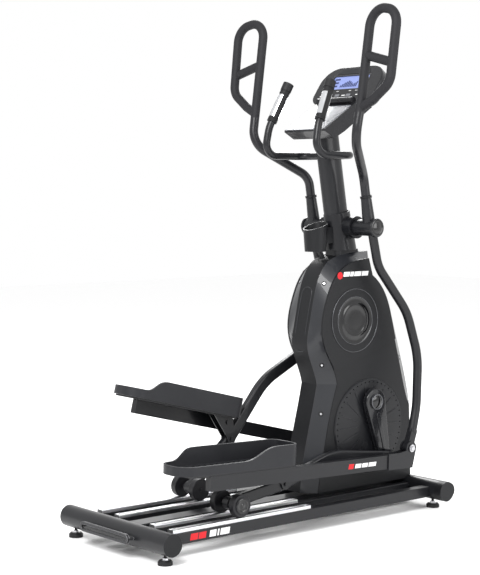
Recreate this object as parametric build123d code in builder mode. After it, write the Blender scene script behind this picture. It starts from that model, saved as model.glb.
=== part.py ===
from build123d import *
import math
import os

os.makedirs("parts", exist_ok=True)

# Elliptical trainer, in millimetres.  X runs from the rear foot tube towards the console, +Y is the
# user's left, +Z is up.  The origin is on the floor under the middle of the machine.  The pedals are
# stored with the right crank down and the left crank up, so both swing arms stand in mid travel.
SIDES = (("left", 1), ("right", -1))

# ---------------------------------------------------------------- clearances
running_gap = 0.05       # radial, a shaft in its bush
seat_gap = 0.1           # between pieces that are pushed or screwed together
rolling_gap = 0.3        # between curved faces that pass or roll on each other
body_gap = 2.0           # sideways, between parts that swing past each other

# ---------------------------------------------------------------- foot tubes
tube_d = 76
tube_wall = 2.5
tube_z = 70              # height of both tube axes
tube_spacing = 1334      # rear tube axis to front tube axis
rear_tube_length = 600
front_tube_length = 504
cap_flange = 4
cap_plug = 15
foot_d = 50
foot_disc = 16
foot_stem_d = 10
foot_stem_top = 58
foot_inset = 40          # foot axis to the end of its tube
foot_nut = 9

# ---------------------------------------------------------------- carrying handle and wheels
grab_length = 280
grab_height = 34
grab_bar = 10
grab_standoff = 18       # clear finger space behind the foot tube
wheel_d = 60
wheel_width = 20
wheel_axle_d = 10
wheel_forward = 22       # wheel axle ahead of the front tube axis
wheel_slot = wheel_width + 2 * body_gap
fork_cheek = 5

rear_reach = tube_d / 2 + grab_standoff + grab_bar
front_reach = wheel_forward + wheel_d / 2
rear_x = -tube_spacing / 2 + (rear_reach - front_reach) / 2
front_x = rear_x + tube_spacing

# ---------------------------------------------------------------- base bars and rails
bar_bottom = 45
bar_height = 40
bar_wall = 2
outer_lane = 205         # outer rail, either side of the middle
inner_lane = 102
side_bar_width = 40
inner_bar_width = 30
centre_beam_width = 70
rail_width = 30
rail_height = 12
rail_start = 64          # from the rear tube axis
outer_rail_length = 620
inner_rail_length = 651
rail_screw_d = 5
rail_screw_head = 9
rail_screw_inset = 14
rail_screw_depth = 10
rail_top = bar_bottom + bar_height + rail_height

# ---------------------------------------------------------------- linkage
pivot_x = rear_x + 1043  # swing arm pivot
pivot_z = 1082
arm_reach = 843          # swing arm pivot to pedal bar joint
arm_angle = 9.35         # degrees forward of straight down, at rest
crank_x = rear_x + 1109
crank_z = 420
crank_radius = 220
right_crank_angle = -76.3
roller_arm_length = 800  # roller axle to crank pin
roller_d = 80
roller_width = 28
roller_axle_d = 12
roller_z = rail_top + roller_d / 2 + rolling_gap
pickup_along = 243       # where a roller arm carries its pedal bar, along its chord
pickup_rise = 15
pickup_back = 566        # the same point seen from the pedal bar joint
pickup_drop = 93

joint_x = pivot_x + arm_reach * math.sin(math.radians(arm_angle))
joint_z = pivot_z - arm_reach * math.cos(math.radians(arm_angle))


def turned(x, z, along, up, degrees):
    """Point reached from (x, z) by going along and up in a frame pitched by the given angle."""
    c = math.cos(math.radians(degrees))
    s = math.sin(math.radians(degrees))
    return x + along * c - up * s, z + along * s + up * c


def side_plane(x, y, z, pitch=0):
    """Upright plane along the machine: local x forwards at the pitch, local y up."""
    c = math.cos(math.radians(pitch))
    s = math.sin(math.radians(pitch))
    return Plane(origin=(x, y, z), x_dir=(c, 0, s), z_dir=(0, -1, 0))


def end_plane(x, y, z):
    """Upright plane across the machine: local x to the user's left, local y up, facing forwards."""
    return Plane(origin=(x, y, z), x_dir=(0, 1, 0), z_dir=(1, 0, 0))


def rest_attitude(crank_angle):
    """Crank pin, roller axle, pitch of the roller arm and pitch of the pedal bar for one side."""
    pin_x, pin_z = turned(crank_x, crank_z, crank_radius, 0, crank_angle)
    rise = pin_z - roller_z
    axle_x = pin_x - math.sqrt(roller_arm_length ** 2 - rise ** 2)
    arm_pitch = math.degrees(math.asin(rise / roller_arm_length))
    pick_x, pick_z = turned(axle_x, roller_z, pickup_along, pickup_rise, arm_pitch)
    link_pitch = math.degrees(math.atan2(joint_z - pick_z, joint_x - pick_x))
    bar_pitch = link_pitch - math.degrees(math.atan2(pickup_drop, pickup_back))
    return pin_x, pin_z, axle_x, arm_pitch, bar_pitch


attitude = {"right": rest_attitude(right_crank_angle), "left": rest_attitude(right_crank_angle + 180)}

# ---------------------------------------------------------------- Y stations, outwards from the middle
housing_half = 92
panel_thickness = 3
spine_half = 42
crank_inner = housing_half + 16
crank_thickness = 18
pin_stub = 6
roller_arm_y = 150
roller_arm_width = 26
boss_width = 30
pedal_bar_y = 225
pedal_bar_width = 26
pedal_inner_y = 90
pedal_outer_y = pedal_bar_y + pedal_bar_width / 2

# ================================================================ foot tubes
foot_places = {"rear": (rear_x, rear_tube_length / 2 - foot_inset),
               "front": (front_x, front_tube_length / 2 - foot_inset)}


def foot_tube(x, length, foot_y):
    """Round cross tube with a weld nut for a foot near each end."""
    with BuildPart() as tube:
        with BuildSketch(side_plane(x, 0, tube_z)):
            Circle(tube_d / 2)
            Circle(tube_d / 2 - tube_wall, mode=Mode.SUBTRACT)
        extrude(amount=length / 2, both=True)
        with BuildSketch(Plane.XY.offset(tube_z - tube_d / 2 + tube_wall / 2)):
            with Locations((x, foot_y), (x, -foot_y)):
                Circle(foot_stem_d)
        extrude(amount=foot_nut)
        with BuildSketch(Plane.XY):
            with Locations((x, foot_y), (x, -foot_y)):
                Circle(foot_stem_d / 2 + running_gap)
        extrude(amount=tube_z, mode=Mode.SUBTRACT)
    return tube.part


with BuildPart() as rear_stabilizer:
    add(foot_tube(rear_x, rear_tube_length, foot_places["rear"][1]))
rear_stabilizer.part.label = "rear_stabilizer"
export_step(rear_stabilizer.part, "parts/rear_stabilizer.step")

with BuildPart() as front_stabilizer:
    add(foot_tube(front_x, front_tube_length, foot_places["front"][1]))
front_stabilizer.part.label = "front_stabilizer"
export_step(front_stabilizer.part, "parts/front_stabilizer.step")

# Push-in plastic caps on the rear tube.
with BuildPart() as rear_end_caps:
    for hand, side in SIDES:
        end_y = side * rear_tube_length / 2
        with BuildSketch(side_plane(rear_x, end_y, tube_z)):
            Circle(tube_d / 2)
        extrude(amount=-side * cap_flange)
        with BuildSketch(side_plane(rear_x, end_y, tube_z)):
            Circle(tube_d / 2 - tube_wall - seat_gap)
        extrude(amount=side * cap_plug)
    chamfer(rear_end_caps.edges().group_by(Axis.Y)[0], length=cap_flange / 3)
    chamfer(rear_end_caps.edges().group_by(Axis.Y)[-1], length=cap_flange / 3)
rear_end_caps.part.label = "rear_end_caps"
export_step(rear_end_caps.part, "parts/rear_end_caps.step")

# Moulded ends of the front tube: each holds a transport wheel in a slot that is open to the front.
front_end_length = seat_gap + fork_cheek + wheel_slot + fork_cheek
wheel_y = front_tube_length / 2 + seat_gap + fork_cheek + wheel_slot / 2
wheel_z = tube_z
with BuildPart() as front_end_caps:
    for hand, side in SIDES:
        start = side * (front_tube_length / 2 + seat_gap)
        with BuildSketch(side_plane(front_x, start, tube_z)):
            Circle(tube_d / 2)
        extrude(amount=-side * (front_end_length - seat_gap))
        with BuildSketch(side_plane(front_x, start, tube_z)):
            Circle(tube_d / 2 - tube_wall - seat_gap)
        extrude(amount=side * cap_plug)
        with BuildSketch(side_plane(front_x + wheel_forward, side * wheel_y, wheel_z)):
            Circle(wheel_d / 2 + body_gap)
        extrude(amount=wheel_slot / 2, both=True, mode=Mode.SUBTRACT)
        with BuildSketch(side_plane(front_x + wheel_forward, side * wheel_y, wheel_z)):
            Circle(wheel_axle_d / 2)
        extrude(amount=wheel_slot / 2 + 1, both=True)
front_end_caps.part.label = "front_end_caps"
export_step(front_end_caps.part, "parts/front_end_caps.step")

for hand, side in SIDES:
    with BuildPart() as transport_wheel:
        with BuildSketch(side_plane(front_x + wheel_forward, side * wheel_y, wheel_z)):
            Circle(wheel_d / 2)
            Circle(wheel_axle_d / 2 + running_gap, mode=Mode.SUBTRACT)
        extrude(amount=wheel_width / 2, both=True)
        rims = transport_wheel.edges().filter_by(GeomType.CIRCLE).group_by(SortBy.RADIUS)[-1]
        fillet(rims, radius=wheel_width / 6)
    transport_wheel.part.label = f"{hand}_transport_wheel"
    export_step(transport_wheel.part, f"parts/{hand}_transport_wheel.step")

for end, (x, y) in foot_places.items():
    for hand, side in SIDES:
        with BuildPart() as levelling_foot:
            with BuildSketch(Plane.XY):
                with Locations((x, side * y)):
                    Circle(foot_d / 2)
            extrude(amount=foot_disc)
            chamfer(levelling_foot.edges().group_by(Axis.Z)[-1], length=foot_disc / 3)
            with BuildSketch(Plane.XY.offset(foot_disc / 2)):
                with Locations((x, side * y)):
                    Circle(foot_stem_d / 2)
            extrude(amount=foot_stem_top - foot_disc / 2)
        levelling_foot.part.label = f"{end}_{hand}_foot"
        export_step(levelling_foot.part, f"parts/{end}_{hand}_foot.step")

# Carrying handle: a long flat loop that stands off the back of the rear tube on two posts.
grab_x = rear_x - tube_d / 2 - grab_standoff - grab_bar
with BuildPart() as lifting_handle:
    with BuildSketch(end_plane(grab_x, 0, tube_z)):
        SlotOverall(grab_length, grab_height)
        SlotOverall(grab_length - 2 * grab_bar, grab_height - 2 * grab_bar, mode=Mode.SUBTRACT)
    extrude(amount=grab_bar)
    fillet(lifting_handle.edges().group_by(Axis.X)[0], radius=grab_bar / 4)
    with BuildSketch(end_plane(grab_x + grab_bar, 0, tube_z)):
        with Locations((grab_length / 2 - grab_bar / 2, 0), (grab_bar / 2 - grab_length / 2, 0)):
            Circle(grab_bar / 2)
    extrude(amount=grab_standoff + tube_d / 8)
    with BuildSketch(side_plane(rear_x, 0, tube_z)):
        Circle(tube_d / 2 + seat_gap)
    extrude(amount=grab_length, both=True, mode=Mode.SUBTRACT)
lifting_handle.part.label = "lifting_handle"
export_step(lifting_handle.part, "parts/lifting_handle.step")

# ================================================================ base
screw_places = []
for lane, length in ((outer_lane, outer_rail_length), (inner_lane, inner_rail_length)):
    for y in (lane, -lane):
        screw_places.append((rear_x + rail_start + rail_screw_inset, y))
        screw_places.append((rear_x + rail_start + length - rail_screw_inset, y))


def base_bars(lanes, width):
    """Box-section bars from tube to tube, coped to the round tubes and drilled for the rail screws."""
    middle = (rear_x + front_x) / 2
    with BuildPart() as bars:
        for y in lanes:
            with BuildSketch(end_plane(middle, y, bar_bottom + bar_height / 2)):
                RectangleRounded(width, bar_height, radius=3)
                Rectangle(width - 2 * bar_wall, bar_height - 2 * bar_wall, mode=Mode.SUBTRACT)
            extrude(amount=tube_spacing / 2, both=True)
        for x in (rear_x, front_x):
            with BuildSketch(side_plane(x, 0, tube_z)):
                Circle(tube_d / 2 + seat_gap)
            extrude(amount=rear_tube_length, both=True, mode=Mode.SUBTRACT)
        with BuildSketch(Plane.XY.offset(rail_top)):
            with Locations(*screw_places):
                Circle(rail_screw_d / 2 + seat_gap)
        extrude(amount=-rail_height - rail_screw_depth, mode=Mode.SUBTRACT)
        largest = bars.solids().sort_by(SortBy.VOLUME)[-len(lanes):]
    return largest


with BuildPart() as side_bars:
    add(base_bars((outer_lane, -outer_lane), side_bar_width))
side_bars.part.label = "side_bars"
export_step(side_bars.part, "parts/side_bars.step")

with BuildPart() as inner_bars:
    add(base_bars((inner_lane, -inner_lane), inner_bar_width))
inner_bars.part.label = "inner_bars"
export_step(inner_bars.part, "parts/inner_bars.step")

with BuildPart() as centre_beam:
    add(base_bars((0,), centre_beam_width))
centre_beam.part.label = "centre_beam"
export_step(centre_beam.part, "parts/centre_beam.step")

for hand, side in SIDES:
    with BuildPart() as rails:
        for lane, length in ((outer_lane, outer_rail_length), (inner_lane, inner_rail_length)):
            x = rear_x + rail_start + length / 2
            with BuildSketch(end_plane(x, side * lane, rail_top - rail_height / 2)):
                Rectangle(rail_width, rail_height)
            extrude(amount=length / 2, both=True)
        fillet(rails.edges().filter_by(Axis.X).group_by(Axis.Z)[-1], radius=rail_height / 3)
        with BuildSketch(Plane.XY.offset(rail_top)):
            with Locations(*screw_places):
                Circle(rail_screw_d / 2 + seat_gap)
        extrude(amount=-rail_height, mode=Mode.SUBTRACT)
    rails.part.label = f"{hand}_rails"
    export_step(rails.part, f"parts/{hand}_rails.step")

with BuildPart() as rail_screws:
    with BuildSketch(Plane.XY.offset(rail_top)):
        with Locations(*screw_places):
            Circle(rail_screw_head / 2)
    extrude(amount=rail_screw_d / 2)
    fillet(rail_screws.edges().group_by(Axis.Z)[-1], radius=rail_screw_d / 4)
    with BuildSketch(Plane.XY.offset(rail_top)):
        with Locations(*screw_places):
            Circle(rail_screw_d / 2)
    extrude(amount=-rail_height - rail_screw_depth + seat_gap)
rail_screws.part.label = "rail_screws"
export_step(rail_screws.part, "parts/rail_screws.step")

# ================================================================ drive and inner frame
upright_foot_x = rear_x + 1165
upright_depth = 70
upright_top_depth = 50
upright_width = 44
upright_wall = 3
foot_plate = 8
foot_plate_margin = 30
bearing_d = 42
bearing_width = 12
crank_axle_d = 20
shell_wall = 7
shell_half = 50
pivot_shaft_d = 25
pivot_tube_d = 44
pivot_tube_half = 80
mast_lean = 9.6          # degrees, towards the user
mast_foot_x = rear_x + 1012
mast_foot_z = 1137
stub_depth = 40
stub_width = 30
stub_up = 70             # stub length inside the mast
flywheel_x = rear_x + 1022
flywheel_z = 733
flywheel_d = 210
flywheel_width = 22
flywheel_y = -47
flywheel_shaft_d = 17
flywheel_boss_d = 40
flywheel_boss_half = 25
drive_pulley_d = 260
small_pulley_d = 40
pulley_width = 14
pulley_y = 64
belt_thickness = 3
belt_width = 12
spoke_hole_d = 70
brake_gap = 4
brake_depth = 20
brake_wall = 5
brake_half_angle = 35

base_top = bar_bottom + bar_height


def mast_point(height):
    """Point on the mast's leaning axis, at the given height above its foot."""
    return mast_foot_x - height * math.tan(math.radians(mast_lean)), mast_foot_z + height


with BuildPart() as main_upright:
    with BuildSketch(Plane.XY.offset(base_top)):
        with Locations((upright_foot_x, 0)):
            Rectangle(upright_depth + 2 * foot_plate_margin, upright_width + foot_plate_margin)
    extrude(amount=foot_plate)
    with BuildSketch(side_plane(0, 0, 0)):
        with BuildLine():
            Polyline((upright_foot_x - upright_depth / 2, base_top + foot_plate / 2),
                     (upright_foot_x + upright_depth / 2, base_top + foot_plate / 2),
                     (pivot_x + upright_top_depth / 2, pivot_z),
                     (pivot_x - upright_top_depth / 2, pivot_z),
                     close=True)
        make_face()
    extrude(amount=upright_width / 2, both=True)
    with BuildSketch(side_plane(0, 0, 0)):
        with BuildLine():
            Polyline((upright_foot_x - upright_depth / 2 + upright_wall, base_top + 2 * foot_plate),
                     (upright_foot_x + upright_depth / 2 - upright_wall, base_top + 2 * foot_plate),
                     (pivot_x + upright_top_depth / 2 - upright_wall, pivot_z - pivot_tube_d),
                     (pivot_x - upright_top_depth / 2 + upright_wall, pivot_z - pivot_tube_d),
                     close=True)
        make_face()
    extrude(amount=upright_width / 2 - upright_wall, both=True, mode=Mode.SUBTRACT)
    with BuildSketch(side_plane(crank_x, 0, crank_z)):
        Circle(bearing_d / 2 + shell_wall)
    extrude(amount=shell_half, both=True)
    with BuildSketch(side_plane(pivot_x, 0, pivot_z)):
        Circle(pivot_tube_d / 2)
    extrude(amount=pivot_tube_half, both=True)
    with BuildSketch(side_plane(mast_point(pivot_z - mast_foot_z)[0], 0, pivot_z, mast_lean)):
        with Locations((0, (mast_foot_z + stub_up - pivot_z) / 2)):
            Rectangle(stub_depth, mast_foot_z + stub_up - pivot_z)
    extrude(amount=stub_width / 2, both=True)
    with BuildSketch(side_plane(flywheel_x, 0, flywheel_z)):
        Circle(flywheel_boss_d / 2)
        with Locations((flywheel_boss_d, 0)):
            Rectangle(2 * flywheel_boss_d, flywheel_boss_d)
    extrude(amount=flywheel_boss_half, both=True)
    with BuildSketch(side_plane(crank_x, 0, crank_z)):
        Circle(bearing_d / 2 + seat_gap / 2)
    extrude(amount=shell_half, both=True, mode=Mode.SUBTRACT)
    with BuildSketch(side_plane(pivot_x, 0, pivot_z)):
        Circle(pivot_shaft_d / 2 + seat_gap)
    extrude(amount=pivot_tube_half, both=True, mode=Mode.SUBTRACT)
    with BuildSketch(side_plane(flywheel_x, 0, flywheel_z)):
        Circle(flywheel_shaft_d / 2 + running_gap)
    extrude(amount=flywheel_boss_half, both=True, mode=Mode.SUBTRACT)
main_upright.part.label = "main_upright"
export_step(main_upright.part, "parts/main_upright.step")

with BuildPart() as crank_bearings:
    for hand, side in SIDES:
        with BuildSketch(side_plane(crank_x, side * (shell_half - bearing_width / 2), crank_z)):
            Circle(bearing_d / 2)
            Circle(crank_axle_d / 2 + running_gap, mode=Mode.SUBTRACT)
        extrude(amount=bearing_width / 2, both=True)
crank_bearings.part.label = "crank_bearings"
export_step(crank_bearings.part, "parts/crank_bearings.step")

with BuildPart() as crank_axle:
    with BuildSketch(side_plane(crank_x, 0, crank_z)):
        Circle(crank_axle_d / 2)
    extrude(amount=crank_inner + crank_thickness - body_gap, both=True)
crank_axle.part.label = "crank_axle"
export_step(crank_axle.part, "parts/crank_axle.step")

with BuildPart() as drive_pulley:
    with BuildSketch(side_plane(crank_x, pulley_y, crank_z)):
        Circle(drive_pulley_d / 2)
        Circle(crank_axle_d / 2 + seat_gap, mode=Mode.SUBTRACT)
        with PolarLocations(drive_pulley_d / 4 + crank_axle_d / 2, 5):
            Circle(spoke_hole_d / 2, mode=Mode.SUBTRACT)
    extrude(amount=pulley_width / 2, both=True)
drive_pulley.part.label = "drive_pulley"
export_step(drive_pulley.part, "parts/drive_pulley.step")

with BuildPart() as flywheel_shaft:
    with BuildSketch(side_plane(flywheel_x, 0, flywheel_z)):
        Circle(flywheel_shaft_d / 2)
    extrude(amount=pulley_y + pulley_width, both=True)
    with BuildSketch(side_plane(flywheel_x, pulley_y, flywheel_z)):
        Circle(small_pulley_d / 2)
    extrude(amount=pulley_width / 2, both=True)
flywheel_shaft.part.label = "flywheel_shaft"
export_step(flywheel_shaft.part, "parts/flywheel_shaft.step")

with BuildPart() as flywheel:
    with BuildSketch(side_plane(flywheel_x, flywheel_y, flywheel_z)):
        Circle(flywheel_d / 2)
        Circle(flywheel_shaft_d / 2 + seat_gap, mode=Mode.SUBTRACT)
    extrude(amount=flywheel_width / 2, both=True)
    chamfer(flywheel.edges().filter_by(GeomType.CIRCLE).group_by(SortBy.RADIUS)[-1], length=2)
flywheel.part.label = "flywheel"
export_step(flywheel.part, "parts/flywheel.step")

with BuildPart() as drive_belt:
    with BuildSketch(side_plane(crank_x, pulley_y, crank_z)) as belt_outer:
        with BuildLine():
            CenterArc((0, 0), drive_pulley_d / 2 + rolling_gap + belt_thickness, 0, 360)
            CenterArc((flywheel_x - crank_x, flywheel_z - crank_z),
                      small_pulley_d / 2 + rolling_gap + belt_thickness, 0, 360)
        make_hull()
    extrude(amount=belt_width / 2, both=True)
    with BuildSketch(side_plane(crank_x, pulley_y, crank_z)) as belt_inner:
        with BuildLine():
            CenterArc((0, 0), drive_pulley_d / 2 + rolling_gap, 0, 360)
            CenterArc((flywheel_x - crank_x, flywheel_z - crank_z),
                      small_pulley_d / 2 + rolling_gap, 0, 360)
        make_hull()
    extrude(amount=belt_width / 2, both=True, mode=Mode.SUBTRACT)
drive_belt.part.label = "drive_belt"
export_step(drive_belt.part, "parts/drive_belt.step")

# Eddy-current brake: a magnet channel around the back of the flywheel's rim, on an arm from the upright.
brake_outer = flywheel_d / 2 + brake_gap + brake_wall
brake_half_width = flywheel_width / 2 + brake_gap + brake_wall
with BuildPart() as magnet_brake:
    with BuildSketch(side_plane(flywheel_x, flywheel_y, flywheel_z)):
        with BuildLine():
            outer_arc = CenterArc((0, 0), brake_outer, 180 - brake_half_angle, 2 * brake_half_angle)
            inner_arc = CenterArc((0, 0), brake_outer - brake_depth, 180 - brake_half_angle,
                                  2 * brake_half_angle)
            Line(outer_arc @ 0, inner_arc @ 0)
            Line(outer_arc @ 1, inner_arc @ 1)
        make_face()
    extrude(amount=brake_half_width, both=True)
    with BuildSketch(side_plane(flywheel_x, flywheel_y, flywheel_z)):
        Circle(flywheel_d / 2 + brake_gap)
    extrude(amount=flywheel_width / 2 + brake_gap, both=True, mode=Mode.SUBTRACT)
    strap_radius = brake_outer - brake_depth / 2
    strap_angle = math.radians(180 + brake_half_angle)
    arm_start = (flywheel_x + strap_radius * math.cos(strap_angle),
                 flywheel_z + strap_radius * math.sin(strap_angle))
    with BuildSketch(side_plane(0, flywheel_y + brake_half_width - brake_wall / 2, 0)):
        with BuildLine():
            arm_line = Line(arm_start, (crank_x, flywheel_z - flywheel_d / 2))
        trace(arm_line, line_width=brake_depth)
    extrude(amount=brake_wall / 2, both=True)
magnet_brake.part.label = "magnet_brake"
export_step(magnet_brake.part, "parts/magnet_brake.step")

# ================================================================ cranks
crank_hub_d = 100
crank_tip_d = 52
crank_cap_d = 60
pin_d = 24
for hand, side in SIDES:
    pin_x, pin_z, axle_x, arm_pitch, bar_pitch = attitude[hand]
    crank_mid_y = side * (crank_inner + crank_thickness / 2)
    with BuildPart() as crank_arm:
        with BuildSketch(side_plane(0, crank_mid_y, 0)):
            with BuildLine():
                CenterArc((crank_x, crank_z), crank_hub_d / 2, 0, 360)
                CenterArc((pin_x, pin_z), crank_tip_d / 2, 0, 360)
            make_hull()
            with Locations((crank_x, crank_z)):
                Circle(crank_axle_d / 2 + seat_gap, mode=Mode.SUBTRACT)
        extrude(amount=crank_thickness / 2, both=True)
        outer_face = crank_arm.faces().sort_by(Axis.Y)[-1 if side > 0 else 0]
        fillet(outer_face.edges().filter_by(GeomType.CIRCLE, reverse=True), radius=crank_thickness / 4)
        with BuildSketch(side_plane(0, side * (crank_inner + crank_thickness), 0)):
            with Locations((crank_x, crank_z)):
                Circle(crank_cap_d / 2)
            with Locations((pin_x, pin_z)):
                Circle(pin_d / 2)
        extrude(amount=-side * pin_stub)
    crank_arm.part.label = f"{hand}_crank_arm"
    export_step(crank_arm.part, f"parts/{hand}_crank_arm.step")

# ================================================================ swing arms
shaft_half = 186
hub_d = 62
hub_start = 88           # inner end of the hub, outside the shroud's collar
hub_cap_d = 70
hub_cap = 10
hub_end = 182
socket_d = 50
socket_top_d = 40
socket_height = 110      # above the pivot
socket_y = 150
lower_tube_d = 34
lower_tube_wall = 2.5
tongue_thickness = 24
tongue_width = 30
joint_boss_d = 40
joint_pin_d = 16
handle_d = 34
handle_wall = 2.5
handle_insert = 40
lean_run = math.tan(math.radians(mast_lean))
insert_depth = handle_insert * math.cos(math.radians(mast_lean))

with BuildPart() as pivot_shaft:
    with BuildSketch(side_plane(pivot_x, 0, pivot_z)):
        Circle(pivot_shaft_d / 2)
    extrude(amount=shaft_half, both=True)
pivot_shaft.part.label = "pivot_shaft"
export_step(pivot_shaft.part, "parts/pivot_shaft.step")

# Middle line of the lower arm: distance from the pivot towards the joint, forward bow, distance from
# the machine's middle, and bend radius.
lower_route = ((20, 0, 162, 0), (150, 12, 160, 150), (345, 112, 186, 220), (520, 126, 205, 300),
               (arm_reach - 143, 75, 219, 300), (arm_reach - 53, 30, pedal_bar_y, 0))


def arm_point(along, bow):
    """Point in the side view, from the distance along the pivot-to-joint line and the bow ahead of it."""
    return turned(pivot_x, pivot_z, along, bow, arm_angle - 90)


for hand, side in SIDES:
    points = [(*arm_point(along, bow), side * y) for along, bow, y, radius in lower_route]
    points = [(x, y, z) for x, z, y in points]
    radii = [row[3] for row in lower_route[1:-1]]
    with BuildPart() as swing_arm:
        with BuildSketch(side_plane(pivot_x, side * hub_start, pivot_z)):
            Circle(hub_d / 2)
        extrude(amount=-side * (hub_end - hub_start))
        with BuildSketch(side_plane(pivot_x, side * hub_end, pivot_z)):
            Circle(hub_cap_d / 2)
        extrude(amount=-side * hub_cap)
        fillet(swing_arm.edges().filter_by(GeomType.CIRCLE).sort_by(Axis.Y)[-1 if side > 0 else 0],
               radius=hub_cap / 3)
        with BuildLine() as arm_line:
            FilletPolyline(*points, radius=radii)
        with BuildSketch(Plane(origin=arm_line.line @ 0, z_dir=arm_line.line % 0)):
            Circle(lower_tube_d / 2)
            Circle(lower_tube_d / 2 - lower_tube_wall, mode=Mode.SUBTRACT)
        sweep(path=arm_line.line)
        with BuildSketch(Plane(origin=(pivot_x, side * socket_y, pivot_z))):
            Circle(socket_d / 2)
        with BuildSketch(Plane(origin=(pivot_x - socket_height * lean_run,
                                       side * socket_y, pivot_z + socket_height))):
            Circle(socket_top_d / 2)
        loft()
        with BuildSketch(side_plane(joint_x, side * pedal_bar_y, joint_z)):
            Circle(joint_boss_d / 2)
        extrude(amount=tongue_thickness / 2, both=True)
        with BuildSketch(side_plane(0, side * pedal_bar_y, 0)):
            with BuildLine():
                tongue_line = Line((joint_x, joint_z), arm_point(arm_reach - 63, 35))
            trace(tongue_line, line_width=tongue_width)
        extrude(amount=tongue_thickness / 2, both=True)
        with BuildSketch(side_plane(pivot_x, side * hub_start, pivot_z)):
            Circle(pivot_shaft_d / 2 + running_gap)
        extrude(amount=-side * (shaft_half + body_gap / 2 - hub_start), mode=Mode.SUBTRACT)
        with BuildSketch(side_plane(joint_x, side * pedal_bar_y, joint_z)):
            Circle(joint_pin_d / 2 + running_gap)
        extrude(amount=pedal_bar_width, both=True, mode=Mode.SUBTRACT)
        with BuildSketch(Plane(origin=(pivot_x - socket_height * lean_run,
                                       side * socket_y, pivot_z + socket_height),
                               x_dir=(0, 1, 0),
                               z_dir=(-math.sin(math.radians(mast_lean)), 0,
                                      math.cos(math.radians(mast_lean))))):
            Circle(handle_d / 2 + seat_gap)
        extrude(amount=handle_insert + seat_gap, both=True, mode=Mode.SUBTRACT)
    swing_arm.part.label = f"{hand}_swing_arm"
    export_step(swing_arm.part, f"parts/{hand}_swing_arm.step")

# Upper handles: an S-bent tube that rises from the socket, with a D-shaped grip loop on its outer side.
# Points are (ahead of the pivot, out from the middle, above the pivot, bend radius).
handle_neck = 190        # height above the pivot where the handle leaves the socket's line
handle_route = (((insert_depth - socket_height) * lean_run, socket_y, socket_height - insert_depth, 0),
                (-handle_neck * lean_run, socket_y, handle_neck, 70),
                (-206, 281, 318, 90),
                (-181, 287, 463, 300),
                (-134, 290, 794, 62),
                (-147, 430, 768, 62),
                (-177, 424, 516, 60),
                (-180, 345, 460, 0))
closing_end = (-184, 287, 432)
rung_ends = ((-158, 288, 620), (-163, 424, 585))


def handle_point(row, side):
    """Handle coordinates, as used in the route, turned into a point of the machine."""
    return pivot_x + row[0], side * row[1], pivot_z + row[2]


for hand, side in SIDES:
    with BuildPart() as handle:
        with BuildLine() as handle_line:
            FilletPolyline(*[handle_point(row, side) for row in handle_route],
                           radius=[row[3] for row in handle_route[1:-1]])
        with BuildSketch(Plane(origin=handle_line.line @ 0, z_dir=handle_line.line % 0)):
            Circle(handle_d / 2)
            Circle(handle_d / 2 - handle_wall, mode=Mode.SUBTRACT)
        sweep(path=handle_line.line)
        for start, end in ((handle_route[-1], closing_end), rung_ends):
            with BuildLine() as brace_line:
                Line(handle_point(start, side), handle_point(end, side))
            with BuildSketch(Plane(origin=brace_line.line @ 0, z_dir=brace_line.line % 0)):
                Circle(handle_d / 2)
            sweep(path=brace_line.line)
    handle.part.label = f"{hand}_handle"
    export_step(handle.part, f"parts/{hand}_handle.step")

# ================================================================ pedal bars and pedals
pedal_bar_height = 51
pedal_bar_wall = 2
pedal_bar_length = 970   # rear end to the joint
bar_below_joint = 44
bar_front_stop = 45
ear_thickness = 5
ear_d = 52
ear_length = 120
ear_half_height = 30
pin_head_d = 30
pin_head = 4
plate_thickness = 6
plate_rear = 1050
plate_front = 580
plate_inner_y = 112
bracket_thickness = 4
bracket_boss_d = 40
bolt_head_d = 16
bolt_head = 5
pedal_length = 530
pedal_back = 1090        # rear end of the pedal, behind the joint
pedal_wall = 9
pedal_floor = 12
pedal_tall = 74
pedal_low = 32
pedal_heel_round = 0.42  # corner radius at the heel, as a share of the width
pedal_toe_round = 0.28   # the same at the toe
pedal_rises = ((-1, 60, 150), (1, 270, 420))  # rim side, where it starts to rise, where it is full height
tread_count = 14
tread_share = 0.62       # length of a tread rib, as a share of the width
tread_skew = 20          # degrees
cut_margin = 1           # how far a cutting outline runs past what it cuts
tread_height = 3
tread_width = 8
tread_pitch = 26

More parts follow.
